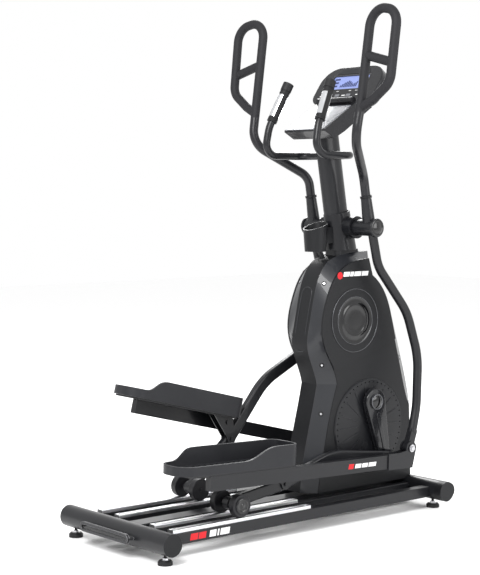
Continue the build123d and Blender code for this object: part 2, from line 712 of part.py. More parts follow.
bar_top = -bar_below_joint + pedal_bar_height / 2
pedal_base = bar_top + plate_thickness + seat_gap
for hand, side in SIDES:
    pin_x, pin_z, axle_x, arm_pitch, bar_pitch = attitude[hand]
    inner_gap = roller_arm_width / 2 + body_gap
    with BuildPart() as pedal_bar:
        with BuildSketch(side_plane(joint_x, side * pedal_bar_y, joint_z, bar_pitch)):
            with Locations((-(pedal_bar_length + bar_front_stop) / 2, -bar_below_joint)):
                RectangleRounded(pedal_bar_length - bar_front_stop, pedal_bar_height, radius=2)
        extrude(amount=pedal_bar_width / 2, both=True)
        with BuildSketch(side_plane(joint_x, side * pedal_bar_y, joint_z, bar_pitch)):
            with Locations((-(pedal_bar_length + bar_front_stop) / 2, -bar_below_joint)):
                Rectangle(pedal_bar_length - bar_front_stop - 2 * pedal_bar_wall,
                          pedal_bar_height - 2 * pedal_bar_wall)
        extrude(amount=pedal_bar_width / 2 - pedal_bar_wall, both=True, mode=Mode.SUBTRACT)
        for offset_y in (pedal_bar_width / 2, -pedal_bar_width / 2):
            out = 1 if offset_y > 0 else -1
            with BuildSketch(side_plane(joint_x, side * pedal_bar_y + offset_y, joint_z, bar_pitch)):
                Circle(ear_d / 2)
                Polygon((-ear_length, -bar_below_joint - ear_half_height),
                        (8, -bar_below_joint - ear_half_height),
                        (ear_d / 2 - 1, -8),
                        (1 - ear_d / 2, -8),
                        (-bar_front_stop - 15, -bar_below_joint + ear_half_height),
                        (-ear_length, -bar_below_joint + ear_half_height),
                        align=None)
            extrude(amount=-out * ear_thickness)
        with BuildSketch(side_plane(joint_x, side * pedal_bar_y, joint_z, bar_pitch)):
            with Locations((-bar_front_stop / 2, -bar_below_joint - ear_half_height + ear_thickness / 2)):
                Rectangle(bar_front_stop + 16, ear_thickness)
        extrude(amount=pedal_bar_width / 2, both=True)
        with BuildSketch(side_plane(joint_x, side * pedal_bar_y, joint_z, bar_pitch)):
            Circle(joint_pin_d / 2)
        extrude(amount=pedal_bar_width / 2 + ear_thickness, both=True)
        with BuildSketch(side_plane(joint_x, side * (pedal_bar_y + pedal_bar_width / 2 + ear_thickness),
                                    joint_z, bar_pitch)):
            Circle(pin_head_d / 2)
        extrude(amount=-side * pin_head)
        plate_mid_y = (plate_inner_y + pedal_outer_y - body_gap) / 2
        with BuildSketch(side_plane(joint_x, side * plate_mid_y, joint_z, bar_pitch)):
            with Locations((-(plate_rear + plate_front) / 2, bar_top + plate_thickness / 2)):
                Rectangle(plate_rear - plate_front, plate_thickness)
        extrude(amount=(pedal_outer_y - body_gap - plate_inner_y) / 2, both=True)
        for step in (-1, 1):
            bracket_y = roller_arm_y + step * (inner_gap + bracket_thickness / 2)
            with BuildSketch(side_plane(joint_x, side * bracket_y, joint_z, bar_pitch)):
                with Locations((-pickup_back, -pickup_drop)):
                    Circle(bracket_boss_d / 2)
                Polygon((-plate_front - 90, bar_top + 1), (-plate_front, bar_top + 1),
                        (-pickup_back + bracket_boss_d / 2, -pickup_drop),
                        (-pickup_back - bracket_boss_d / 2, -pickup_drop),
                        align=None)
            extrude(amount=bracket_thickness / 2, both=True)
            head_y = roller_arm_y + step * (inner_gap + bracket_thickness)
            with BuildSketch(side_plane(joint_x, side * head_y, joint_z, bar_pitch)):
                with Locations((-pickup_back, -pickup_drop), (-plate_front - 20, bar_top - 18)):
                    Circle(bolt_head_d / 2)
            extrude(amount=-side * step * bolt_head)
    pedal_bar.part.label = f"{hand}_pedal_bar"
    export_step(pedal_bar.part, f"parts/{hand}_pedal_bar.step")

for hand, side in SIDES:
    bar_pitch = attitude[hand][4]
    pedal_frame = side_plane(joint_x, 0, joint_z, bar_pitch)
    pedal_mid_y = side * (pedal_inner_y + pedal_outer_y) / 2
    pedal_width = pedal_outer_y - pedal_inner_y
    base_origin = pedal_frame.from_local_coords((pedal_length / 2 - pedal_back, pedal_base, 0))
    floor_plane = Plane(origin=(base_origin.X, pedal_mid_y, base_origin.Z),
                        x_dir=pedal_frame.x_dir, z_dir=pedal_frame.y_dir)
    with BuildPart() as pedal:
        with BuildSketch(floor_plane):
            RectangleRounded(pedal_length, pedal_width, radius=pedal_width * pedal_heel_round)
            with Locations((pedal_length / 4, 0)):
                RectangleRounded(pedal_length / 2, pedal_width, radius=pedal_width * pedal_toe_round)
        extrude(amount=pedal_tall)
        with BuildSketch(floor_plane.offset(pedal_floor)):
            RectangleRounded(pedal_length - 2 * pedal_wall, pedal_width - 2 * pedal_wall,
                             radius=pedal_width * pedal_heel_round - pedal_wall)
            with Locations((pedal_length / 4 - pedal_wall / 2, 0)):
                RectangleRounded(pedal_length / 2 - pedal_wall, pedal_width - 2 * pedal_wall,
                                 radius=pedal_width * pedal_toe_round - pedal_wall)
        extrude(amount=pedal_tall, mode=Mode.SUBTRACT)
        # The inner rim stands high from a little ahead of the heel; the outer rim only in front.
        for rim_side, rise_from, rise_to in pedal_rises:
            rim_plane = side_plane(joint_x, pedal_mid_y, joint_z, bar_pitch)
            with BuildSketch(rim_plane):
                with BuildLine():
                    low = pedal_base + pedal_low
                    high = pedal_base + pedal_tall
                    above = high + cut_margin
                    behind = -pedal_back - cut_margin
                    Polyline((behind, above), (behind, low), (-pedal_back + rise_from, low))
                    Spline((-pedal_back + rise_from, low), (-pedal_back + rise_to, high - body_gap / 4),
                           tangents=((1, 0), (1, 0)))
                    Polyline((-pedal_back + rise_to, high - body_gap / 4), (-pedal_back + rise_to, above),
                             (behind, above))
                make_face()
            extrude(amount=-side * rim_side * pedal_width, mode=Mode.SUBTRACT)
        with BuildSketch(floor_plane.offset(pedal_floor)):
            with GridLocations(tread_pitch, 1, tread_count, 1):
                Rectangle(tread_width, pedal_width * tread_share, rotation=tread_skew * side)
        extrude(amount=tread_height)
    pedal.part.label = f"{hand}_pedal"
    export_step(pedal.part, f"parts/{hand}_pedal.step")

# ================================================================ roller arms and rollers
arm_height = 44
arm_edge = 7
bend_along = 500
bend_rise = 66
knee_along = 250
knee_rise = 14
arm_bend_radius = 260
rear_boss_d = 44
front_boss_d = 56
axle_start = 85
roller_cap_d = 56
roller_cap = 3
for hand, side in SIDES:
    pin_x, pin_z, axle_x, arm_pitch, bar_pitch = attitude[hand]
    arm_plane = side_plane(axle_x, side * roller_arm_y, roller_z, arm_pitch)
    with BuildPart() as roller_arm:
        with BuildSketch(arm_plane):
            with BuildLine():
                centre_line = FilletPolyline((0, 0), (knee_along, knee_rise), (bend_along, bend_rise),
                                             (roller_arm_length, 0), radius=(arm_bend_radius, arm_bend_radius))
            trace(centre_line, line_width=arm_height)
        extrude(amount=roller_arm_width / 2, both=True)
        long_edges = roller_arm.edges().filter_by(lambda e: e.length > roller_arm_length / 50
                                                  and abs(abs((e @ 0.5).Y) - roller_arm_y) > arm_edge)
        fillet(long_edges, radius=arm_edge)
        with BuildSketch(arm_plane):
            Circle(rear_boss_d / 2)
            with Locations((roller_arm_length, 0)):
                Circle(front_boss_d / 2)
        extrude(amount=boss_width / 2, both=True)
        outer_y = outer_lane + roller_width / 2
        with BuildSketch(side_plane(axle_x, side * axle_start, roller_z, arm_pitch)):
            Circle(roller_axle_d / 2)
        extrude(amount=-side * (outer_y - axle_start - body_gap))
    roller_arm.part.label = f"{hand}_roller_arm"
    export_step(roller_arm.part, f"parts/{hand}_roller_arm.step")

    with BuildPart() as rollers:
        for lane in (outer_lane, inner_lane):
            with BuildSketch(side_plane(axle_x, side * lane, roller_z)):
                Circle(roller_d / 2)
            extrude(amount=roller_width / 2, both=True)
        fillet(rollers.edges().filter_by(GeomType.CIRCLE), radius=roller_width / 8)
        with BuildSketch(side_plane(axle_x, side * (outer_lane + roller_width / 2), roller_z)):
            Circle(roller_cap_d / 2)
        extrude(amount=-side * roller_cap)
        with BuildSketch(side_plane(axle_x, side * (axle_start - body_gap), roller_z)):
            Circle(roller_axle_d / 2 + running_gap)
        extrude(amount=-side * (outer_y - axle_start + body_gap / 2), mode=Mode.SUBTRACT)
    rollers.part.label = f"{hand}_rollers"
    export_step(rollers.part, f"parts/{hand}_rollers.step")

# ================================================================ housing
core_inset = 9
notch_index = 3
corner_index = 11
core_drop = 20           # the shells are open at the bottom
crease = ((936, 555), (1245, 651))
upper_step = 5           # the panel above the crease stands further out
emblem_outer = 120
emblem_inner = 90
emblem_height = 1.5
disc_x = 1100
disc_z = 326
disc_radius = 180
disc_inner_y = 84
disc_outer_y = 98
disc_plate = 4
disc_hole_d = 56
disc_rib = 2
rim_hole_d = 6
rim_hole_count = 48
rib_centre = 0.6         # middle of a disc rib, as a share of the disc radius
rib_reach = 0.5          # length of a disc rib, the same way
rib_count = 18
neck_start = 985
neck_end = 1105

# Side-view outlines, from the rear foot tube's axis: at the spine's edge and at the side panel.
spine_outline = ((795, 98), (842, 350), (865, 440), (878, 498), (853, 570), (829, 648), (838, 715),
                 (862, 825), (890, 905), (925, 948), (985, 975), (1140, 990), (1160, 900), (1240, 815),
                 (1290, 685), (1330, 560), (1365, 440), (1378, 380), (1380, 98))
panel_outline = ((838, 98), (891, 347), (916, 438), (937, 497), (915, 559), (869, 640), (855, 715),
                 (878, 815), (914, 888), (950, 925), (1000, 950), (1095, 965), (1115, 900), (1195, 805),
                 (1232, 685), (1266, 565), (1300, 445), (1325, 380), (1335, 98))


def outline_at(points, y):
    """Side-view face through the points: three smooth runs that meet at the notch and the top corner."""
    with BuildSketch(side_plane(rear_x, y, 0)) as drawn:
        with BuildLine():
            Spline(*points[:notch_index + 1])
            Spline(*points[notch_index:corner_index + 1])
            Line(points[corner_index], points[corner_index + 1])
            Spline(*points[corner_index + 1:-1])
            Polyline(points[-2], points[-1], points[0])
        make_face()
    return drawn.sketch


def core_at(points, y):
    """Hollow inside an outline: the points' polygon moved inwards and run out below the foot."""
    first, *middle, last = points
    with BuildSketch(side_plane(rear_x, y, 0)) as drawn:
        with BuildLine():
            Polyline((first[0], first[1] - core_drop), *middle, (last[0], last[1] - core_drop), close=True)
        make_face()
        offset(amount=-core_inset, kind=Kind.INTERSECTION)
    return drawn.sketch


panel_inner_y = housing_half - panel_thickness
with BuildPart() as side_shells:
    for hand, side in SIDES:
        add(outline_at(spine_outline, side * spine_half))
        add(outline_at(panel_outline, side * (panel_inner_y - seat_gap)))
        loft(ruled=True)
        add(core_at(spine_outline, side * spine_half))
        add(core_at(panel_outline, side * (panel_inner_y - seat_gap)))
        loft(ruled=True, mode=Mode.SUBTRACT)
    with BuildSketch(side_plane(front_x, 0, tube_z)):
        Circle(tube_d / 2 + body_gap)
    extrude(amount=housing_half, both=True, mode=Mode.SUBTRACT)
side_shells.part.label = "side_shells"
export_step(side_shells.part, "parts/side_shells.step")

# Outer panels.  Above the crease they stand out further and carry a ring emblem.
for hand, side in SIDES:
    with BuildPart() as side_panel:
        add(outline_at(panel_outline, side * panel_inner_y))
        extrude(amount=panel_thickness + upper_step, dir=(0, side, 0))
        with BuildSketch(side_plane(rear_x, side * housing_half, 0)):
            Polygon(crease[0], crease[1], (crease[1][0] + disc_radius, crease[1][1]),
                    (crease[1][0] + disc_radius, 0), (crease[0][0] - disc_radius, 0),
                    (crease[0][0] - disc_radius, crease[0][1]), align=None)
        extrude(amount=upper_step, dir=(0, side, 0), mode=Mode.SUBTRACT)
        with BuildSketch(side_plane(flywheel_x, side * (housing_half + upper_step), flywheel_z)):
            Circle(emblem_outer)
            Circle(emblem_inner, mode=Mode.SUBTRACT)
        extrude(amount=emblem_height, dir=(0, side, 0))
        with BuildSketch(side_plane(rear_x + disc_x, side * panel_inner_y, disc_z)):
            Circle(disc_radius + seat_gap)
        extrude(amount=panel_thickness + upper_step, dir=(0, side, 0), mode=Mode.SUBTRACT)
        with BuildSketch(side_plane(front_x, 0, tube_z)):
            Circle(tube_d / 2 + body_gap)
        extrude(amount=2 * housing_half, both=True, mode=Mode.SUBTRACT)
    side_panel.part.label = f"{hand}_side_panel"
    export_step(side_panel.part, f"parts/{hand}_side_panel.step")

# Round crank covers: a shallow dish with fan ribs and a ring of small holes along its rim.
with BuildPart() as disc_covers:
    for hand, side in SIDES:
        with BuildSketch(side_plane(rear_x + disc_x, side * disc_inner_y, disc_z)):
            Circle(disc_radius)
        extrude(amount=disc_outer_y - disc_inner_y, dir=(0, side, 0))
        rim = disc_covers.faces().filter_by(Axis.Y).sort_by(Axis.Y)[-1 if side > 0 else 0].edges()
        chamfer(rim, length=disc_plate)
        with BuildSketch(side_plane(rear_x + disc_x, side * disc_inner_y, disc_z)):
            Circle(disc_radius - disc_plate)
        extrude(amount=disc_outer_y - disc_inner_y - disc_plate, dir=(0, side, 0), mode=Mode.SUBTRACT)
        with BuildSketch(side_plane(rear_x + disc_x, side * disc_outer_y, disc_z)):
            with PolarLocations(disc_radius * rib_centre, rib_count):
                Rectangle(disc_radius * rib_reach, disc_plate)
        extrude(amount=disc_rib, dir=(0, side, 0))
        with BuildSketch(side_plane(rear_x + disc_x, side * disc_inner_y, disc_z)):
            with PolarLocations(disc_radius - 3 * disc_plate, rim_hole_count):
                Circle(rim_hole_d / 2)
        extrude(amount=disc_outer_y - disc_inner_y, dir=(0, side, 0), mode=Mode.SUBTRACT)
        with BuildSketch(side_plane(crank_x, side * disc_inner_y, crank_z)):
            Circle(disc_hole_d / 2)
        extrude(amount=disc_outer_y, dir=(0, side, 0), mode=Mode.SUBTRACT)
disc_covers.part.label = "disc_covers"
export_step(disc_covers.part, "parts/disc_covers.step")

# The spine closes the gap between the side shells; the neck of the shroud divides it at the top.
spine_parts = {"rear_spine_cover": (0, neck_start), "front_cover": (neck_end, tube_spacing * 2)}
for name, (start, end) in spine_parts.items():
    with BuildPart() as spine_cover:
        add(outline_at(spine_outline, spine_half - seat_gap))
        extrude(amount=2 * (spine_half - seat_gap), dir=(0, -1, 0))
        add(core_at(spine_outline, spine_half - seat_gap))
        extrude(amount=2 * (spine_half - seat_gap), dir=(0, -1, 0), mode=Mode.SUBTRACT)
        with BuildSketch(side_plane(rear_x, 0, 0)):
            with Locations(((start + end) / 2, pivot_z / 2)):
                Rectangle(end - start, pivot_z)
        extrude(amount=housing_half, both=True, mode=Mode.INTERSECT)
        with BuildSketch(side_plane(front_x, 0, tube_z)):
            Circle(tube_d / 2 + body_gap)
        extrude(amount=housing_half, both=True, mode=Mode.SUBTRACT)
    spine_cover.part.label = name
    export_step(spine_cover.part, f"parts/{name}.step")

# ================================================================ mast and its shroud
mast_depth = 104
mast_width = 70
mast_wall = 3
mast_length = 330
cross_tube_d = 28
cross_tube_z = 1350
tray_underside = ((850, 1438), (899, 1411), (953, 1440), (1093, 1532))
mast_plane = Plane(origin=(mast_foot_x, 0, mast_foot_z),
                   x_dir=(math.cos(math.radians(mast_lean)), 0, math.sin(math.radians(mast_lean))),
                   z_dir=(-math.sin(math.radians(mast_lean)), 0, math.cos(math.radians(mast_lean))))
cross_tube_x = mast_point(cross_tube_z - mast_foot_z)[0]

with BuildPart() as mast:
    with BuildSketch(mast_plane):
        Ellipse(mast_depth / 2, mast_width / 2)
    extrude(amount=mast_length)
    with BuildSketch(mast_plane.offset(stub_up)):
        Ellipse(mast_depth / 2 - mast_wall, mast_width / 2 - mast_wall)
    extrude(amount=mast_length, mode=Mode.SUBTRACT)
    with BuildSketch(mast_plane):
        Rectangle(stub_depth + 2 * seat_gap, stub_width + 2 * seat_gap)
    extrude(amount=stub_up + mast_wall, mode=Mode.SUBTRACT)
    with BuildSketch(side_plane(cross_tube_x, 0, cross_tube_z)):
        Circle(cross_tube_d / 2 + seat_gap)
    extrude(amount=mast_width, both=True, mode=Mode.SUBTRACT)
    with BuildSketch(side_plane(rear_x, 0, -seat_gap)):
        Polygon(*tray_underside, (1093, 1700), (850, 1700), align=None)
    extrude(amount=mast_width, both=True, mode=Mode.SUBTRACT)
mast.part.label = "mast"
export_step(mast.part, "parts/mast.step")

shroud_wall = 4
shroud_foot_x = 1040
shroud_foot_z = 995
shroud_foot = (130, 110)
shroud_top_x = 1015
shroud_top_z = mast_foot_z + mast_depth / 8
shroud_top = (112, 84)
neck_z = 968
neck_depth = 116
neck_width = 82
collar_d = 84
collar_end = 85
with BuildPart() as top_shroud:
    with BuildSketch(Plane.XY.offset(shroud_foot_z)):
        with Locations((rear_x + shroud_foot_x, 0)):
            Ellipse(shroud_foot[0] / 2, shroud_foot[1] / 2)
    with BuildSketch(Plane.XY.offset(shroud_top_z)):
        with Locations((rear_x + shroud_top_x, 0)):
            Ellipse(shroud_top[0] / 2, shroud_top[1] / 2)
    loft()
    with BuildSketch(Plane.XY.offset(neck_z)):
        with Locations((rear_x + (neck_start + neck_end) / 2, 0)):
            RectangleRounded(neck_depth, neck_width, radius=neck_width / 4)
    extrude(amount=shroud_foot_z - neck_z + shroud_wall)
    with BuildSketch(side_plane(pivot_x, 0, pivot_z)):
        Circle(collar_d / 2)
    extrude(amount=collar_end, both=True)
    with BuildSketch(Plane.XY.offset(shroud_foot_z + shroud_wall)):
        with Locations((rear_x + shroud_foot_x, 0)):
            Ellipse(shroud_foot[0] / 2 - shroud_wall, shroud_foot[1] / 2 - shroud_wall)
    with BuildSketch(Plane.XY.offset(shroud_top_z)):
        with Locations((rear_x + shroud_top_x, 0)):
            Ellipse(shroud_top[0] / 2 - shroud_wall, shroud_top[1] / 2 - shroud_wall)
    loft(mode=Mode.SUBTRACT)
    with BuildSketch(Plane.XY.offset(neck_z)):
        with Locations((rear_x + (neck_start + neck_end) / 2, 0)):
            RectangleRounded(neck_depth - 2 * shroud_wall, neck_width - 2 * shroud_wall,
                             radius=neck_width / 4 - shroud_wall)
    extrude(amount=shroud_foot_z - neck_z + 2 * shroud_wall, mode=Mode.SUBTRACT)
    with BuildSketch(side_plane(pivot_x, 0, pivot_z)):
        Circle(pivot_tube_d / 2 + seat_gap)
    extrude(amount=collar_end, both=True, mode=Mode.SUBTRACT)
    with BuildSketch(mast_plane.offset(-seat_gap)):
        Rectangle(2 * mast_depth, 2 * mast_depth)
    extrude(amount=mast_depth, mode=Mode.SUBTRACT)
top_shroud.part.label = "top_shroud"
export_step(top_shroud.part, "parts/top_shroud.step")

# ================================================================ bottle holder
cup_x = 908
cup_z = 992
cup_top_z = 1115
cup_foot_radius = 40
cup_top_radius = 49
cup_wall = 4
cup_floor = 6
cup_mouth = ((840, 1065), (980, 1113))
saddle_width = 50
saddle_height = 60
cup_strut_d = 14
with BuildPart() as bottle_holder:
    with BuildSketch(Plane.XY.offset(cup_z)):
        with Locations((rear_x + cup_x, 0)):
            Circle(cup_foot_radius)
    with BuildSketch(Plane.XY.offset(cup_top_z)):
        with Locations((rear_x + cup_x, 0)):
            Circle(cup_top_radius)
    loft()
    with BuildSketch(Plane.XY.offset(cup_z + (cup_top_z - cup_z) / 4)):
        with Locations((rear_x + cup_x + cup_top_radius, 0)):
            Rectangle(cup_top_radius, saddle_width)
    extrude(amount=saddle_height)
    with BuildSketch(Plane.XY.offset(cup_z + cup_floor)):
        with Locations((rear_x + cup_x, 0)):
            Circle(cup_foot_radius - cup_wall)
    with BuildSketch(Plane.XY.offset(cup_top_z)):
        with Locations((rear_x + cup_x, 0)):
            Circle(cup_top_radius - cup_wall)
    loft(mode=Mode.SUBTRACT)
    with BuildSketch(side_plane(rear_x, 0, 0)):
        Polygon(*cup_mouth, (cup_mouth[1][0], cup_top_z + 1), (cup_mouth[0][0], cup_top_z + 1), align=None)
    extrude(amount=cup_top_radius * 2, both=True, mode=Mode.SUBTRACT)
    with BuildSketch(Plane.XY.offset(shroud_foot_z)):
        with Locations((rear_x + shroud_foot_x, 0)):
            Ellipse(shroud_foot[0] / 2 + seat_gap, shroud_foot[1] / 2 + seat_gap)
    with BuildSketch(Plane.XY.offset(shroud_top_z)):
        with Locations((rear_x + shroud_top_x, 0)):
            Ellipse(shroud_top[0] / 2 + seat_gap, shroud_top[1] / 2 + seat_gap)
    loft(mode=Mode.SUBTRACT)
    with BuildSketch(side_plane(rear_x, 0, 0)):
        with BuildLine():
            strut_line = Line((cup_x + cup_foot_radius / 2, cup_z + cup_floor / 2), (945, 966))
        trace(strut_line, line_width=cup_strut_d)
    extrude(amount=cup_strut_d / 2, both=True)
bottle_holder.part.label = "bottle_holder"
export_step(bottle_holder.part, "parts/bottle_holder.step")

# ================================================================ fixed hand bar
grip_top = (rear_x + 872, 115, 1614)
grip_foot = (rear_x + 794, 134, 1455)
hand_bar_low = (rear_x + 775, 139, cross_tube_z)
hand_bar_wall = 2
hand_bar_bend = 48
grip_d = 36
grip_start = 6           # the grip runs this far past the end of the bar
grip_length = 154
head_d = 41
head_length = 30
button_d = 13
button_travel = 1
button_length = 8
plate_sheet = 1
plate_length = 90
plate_from_top = 45
plate_arc = 100
with BuildPart() as pulse_handlebar:
    with BuildLine() as bar_line:
        FilletPolyline(grip_top, grip_foot, hand_bar_low, (cross_tube_x, hand_bar_low[1], cross_tube_z),
                       (cross_tube_x, 0, cross_tube_z), radius=(150, hand_bar_bend, hand_bar_bend))
    with BuildSketch(Plane(origin=bar_line.line @ 0, z_dir=bar_line.line % 0)):
        Circle(cross_tube_d / 2)
        Circle(cross_tube_d / 2 - hand_bar_wall, mode=Mode.SUBTRACT)
    sweep(path=bar_line.line)
    mirror(about=Plane.XZ)
pulse_handlebar.part.label = "pulse_handlebar"
export_step(pulse_handlebar.part, "parts/pulse_handlebar.step")


def grip_plane(side, along):
    """Plane across a grip, the given distance down from the end of the bar, facing back up."""
    tip = Vector(grip_top[0], side * grip_top[1], grip_top[2])
    foot = Vector(grip_foot[0], side * grip_foot[1], grip_foot[2])
    up = (tip - foot).normalized()
    return Plane(origin=tip - up * along, x_dir=Vector(0, 1, 0).cross(up), z_dir=up)


with BuildPart() as pulse_grips:
    for hand, side in SIDES:
        with BuildSketch(grip_plane(side, grip_length)):
            Circle(grip_d / 2)
        extrude(amount=grip_length + grip_start)
        with BuildSketch(grip_plane(side, head_length - grip_start)):
            Circle(head_d / 2)
        extrude(amount=head_length)
        with BuildSketch(grip_plane(side, grip_length)):
            Circle(cross_tube_d / 2 + seat_gap)
        extrude(amount=grip_length + seat_gap, mode=Mode.SUBTRACT)
        with BuildSketch(grip_plane(side, -grip_start)):
            Circle(button_d / 2 + rolling_gap)
        extrude(amount=-grip_start, mode=Mode.SUBTRACT)
pulse_grips.part.label = "pulse_grips"
export_step(pulse_grips.part, "parts/pulse_grips.step")

# Pulse contacts: two half-round steel sheets on each grip.
with BuildPart() as contact_plates:
    for hand, side in SIDES:
        for facing in (0, 180):
            with BuildSketch(grip_plane(side, plate_from_top + plate_length)):
                with BuildLine():
                    outer = CenterArc((0, 0), grip_d / 2 + plate_sheet, facing - plate_arc / 2, plate_arc)
                    inner = CenterArc((0, 0), grip_d / 2 + seat_gap, facing - plate_arc / 2, plate_arc)
                    Line(outer @ 0, inner @ 0)
                    Line(outer @ 1, inner @ 1)
                make_face()
            extrude(amount=plate_length)
contact_plates.part.label = "contact_plates"
export_step(contact_plates.part, "parts/contact_plates.step")

for hand, side in SIDES:
    with BuildPart() as thumb_button:
        with BuildSketch(grip_plane(side, -seat_gap - button_travel)):
            Circle(button_d / 2)
        extrude(amount=button_length)
        fillet(thumb_button.edges().filter_by(GeomType.CIRCLE).sort_by(Axis.Z)[-1], radius=button_d / 5)
    thumb_button.part.label = f"{hand}_thumb_button"
    export_step(thumb_button.part, f"parts/{hand}_thumb_button.step")

# ================================================================ console and reading tray
console_x = 1068
console_z = 1612
console_tilt = 35        # face angle from upright
console_width = 330
console_up = 98
console_down = 75
console_depth = 46
console_edge = 8
console_top_radius = 80
console_bottom_radius = 44
screen_width = 190
screen_height = 62
screen_thickness = 3
screen_rise = 22
key_width = 24
key_height = 11
key_depth = 5
key_travel = 1
key_proud = 1.5
key_drop = 40
key_spacing = 60
tray_width = 220
stop_bar_d = 26
stop_bar_length = 190
panel_sheet = 3
panel_sheet_width = 208

face_plane = Plane(origin=(rear_x + console_x, 0, console_z), x_dir=(0, -1, 0),
                   z_dir=(-math.cos(math.radians(console_tilt)), 0, math.sin(math.radians(console_tilt))))
key_places = {"left": key_spacing / -2, "right": key_spacing / 2}


def console_block(margin):
    """Side-view outline of the console's body, grown by a margin."""
    up = (math.sin(math.radians(console_tilt)), math.cos(math.radians(console_tilt)))
    back = (math.cos(math.radians(console_tilt)), -math.sin(math.radians(console_tilt)))
    corners = ((-console_down - margin, -margin), (console_up + margin, -margin),
               (console_up + margin, console_depth + margin),
               (-console_down - margin, console_depth + margin))
    return [(console_x + a * up[0] + b * back[0], console_z + a * up[1] + b * back[1]) for a, b in corners]


with BuildPart() as console_housing:
    with BuildSketch(face_plane):
        with BuildLine():
            half = console_width / 2
            FilletPolyline((0, -console_down), (half, -console_down), (half, console_up), (0, console_up),
                           radius=(console_bottom_radius, console_top_radius))
            mirror(about=Plane.YZ)
        make_face()
    extrude(amount=-console_depth)
    face_axis = Axis(face_plane.origin, face_plane.z_dir)
    chamfer(console_housing.faces().sort_by(face_axis)[0].edges(), length=console_edge)
    fillet(console_housing.faces().sort_by(face_axis)[-1].edges(), radius=console_edge / 2)
    with BuildSketch(face_plane):
        with Locations((0, screen_rise)):
            RectangleRounded(screen_width + 2 * seat_gap, screen_height + 2 * seat_gap, radius=6)
        for x in key_places.values():
            with Locations((x, -key_drop)):
                RectangleRounded(key_width + 2 * rolling_gap, key_height + 2 * rolling_gap, radius=3)
    extrude(amount=-key_depth - key_travel, mode=Mode.SUBTRACT)
console_housing.part.label = "console_housing"
export_step(console_housing.part, "parts/console_housing.step")

with BuildPart() as display_screen:
    with BuildSketch(face_plane.offset(-key_depth - key_travel + seat_gap)):
        with Locations((0, screen_rise)):
            RectangleRounded(screen_width, screen_height, radius=6)
    extrude(amount=screen_thickness)
display_screen.part.label = "display_screen"
export_step(display_screen.part, "parts/display_screen.step")

for hand, x in key_places.items():
    with BuildPart() as console_key:
        with BuildSketch(face_plane.offset(key_proud)):
            with Locations((x, -key_drop)):
                RectangleRounded(key_width, key_height, radius=3)
        extrude(amount=-key_depth - key_proud)
        fillet(console_key.faces().sort_by(face_axis)[-1].edges(), radius=key_proud / 2)
    console_key.part.label = f"{hand}_console_key"
    export_step(console_key.part, f"parts/{hand}_console_key.step")

tray_top = ((850, 1445), (1010, 1548))
with BuildPart() as reading_tray:
    with BuildSketch(side_plane(rear_x, 0, 0)):
        Polygon(tray_top[0], *tray_underside, (1040, 1560), tray_top[1], align=None)
    extrude(amount=tray_width / 2, both=True)
    with BuildSketch(side_plane(rear_x, 0, 0)):
        Polygon(*console_block(seat_gap), align=None)
    extrude(amount=console_width, both=True, mode=Mode.SUBTRACT)
    largest = reading_tray.solids().sort_by(SortBy.VOLUME)[-1]
    fillet(reading_tray.edges().filter_by(Axis.Y).group_by(Axis.Z)[0], radius=console_edge)
    with BuildSketch(side_plane(rear_x, 0, 0)):
        with Locations((tray_top[1][0], tray_top[1][1] + stop_bar_d / 3)):
            Circle(stop_bar_d / 2)
    extrude(amount=stop_bar_length / 2, both=True)
reading_tray.part.label = "reading_tray"
export_step(reading_tray.part, "parts/reading_tray.step")

# Clear sheet on the tray's rest face.
with BuildPart() as tray_panel:
    slope = math.degrees(math.atan2(tray_top[1][1] - tray_top[0][1], tray_top[1][0] - tray_top[0][0]))
    run = math.hypot(tray_top[1][0] - tray_top[0][0], tray_top[1][1] - tray_top[0][1])
    with BuildSketch(side_plane(rear_x + tray_top[0][0], 0, tray_top[0][1], slope)):
        with Locations(((run - stop_bar_d) / 2, seat_gap + panel_sheet / 2)):
            Rectangle(run - stop_bar_d, panel_sheet)
    extrude(amount=panel_sheet_width / 2, both=True)
tray_panel.part.label = "tray_panel"
export_step(tray_panel.part, "parts/tray_panel.step")
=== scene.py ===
import bpy
import bmesh
import math
from mathutils import Matrix, Vector
from mathutils.bvhtree import BVHTree


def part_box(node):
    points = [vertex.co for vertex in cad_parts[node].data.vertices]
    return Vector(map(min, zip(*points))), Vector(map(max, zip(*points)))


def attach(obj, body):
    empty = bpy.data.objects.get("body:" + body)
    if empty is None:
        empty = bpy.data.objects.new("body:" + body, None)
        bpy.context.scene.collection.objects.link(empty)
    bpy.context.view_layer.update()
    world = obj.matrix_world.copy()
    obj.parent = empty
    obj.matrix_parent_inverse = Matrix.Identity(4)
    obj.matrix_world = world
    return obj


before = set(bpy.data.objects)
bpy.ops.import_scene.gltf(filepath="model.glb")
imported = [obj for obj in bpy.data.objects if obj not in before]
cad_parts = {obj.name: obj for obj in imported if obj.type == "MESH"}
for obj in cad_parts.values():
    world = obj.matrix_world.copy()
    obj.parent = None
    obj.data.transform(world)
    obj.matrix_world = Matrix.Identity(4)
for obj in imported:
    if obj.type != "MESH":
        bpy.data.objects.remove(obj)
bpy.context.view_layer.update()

# ---------------------------------------------------------------- foot tubes, base bars and frame paint
# Welded steel tubes with a satin charcoal powder coat.  The coat is slightly pebbled, a little lighter
# where edges have been rubbed, and its gloss varies in soft patches.


def group_tree(name, inputs, outputs):
    """Empty shader node group with float inputs and the given outputs."""
    tree = bpy.data.node_groups.new(name, "ShaderNodeTree")
    for label, value in inputs:
        socket = tree.interface.new_socket(label, in_out="INPUT", socket_type="NodeSocketFloat")
        socket.default_value = value
    for label, kind in outputs:
        tree.interface.new_socket(label, in_out="OUTPUT", socket_type=kind)
    return tree, tree.nodes.new("NodeGroupInput"), tree.nodes.new("NodeGroupOutput")


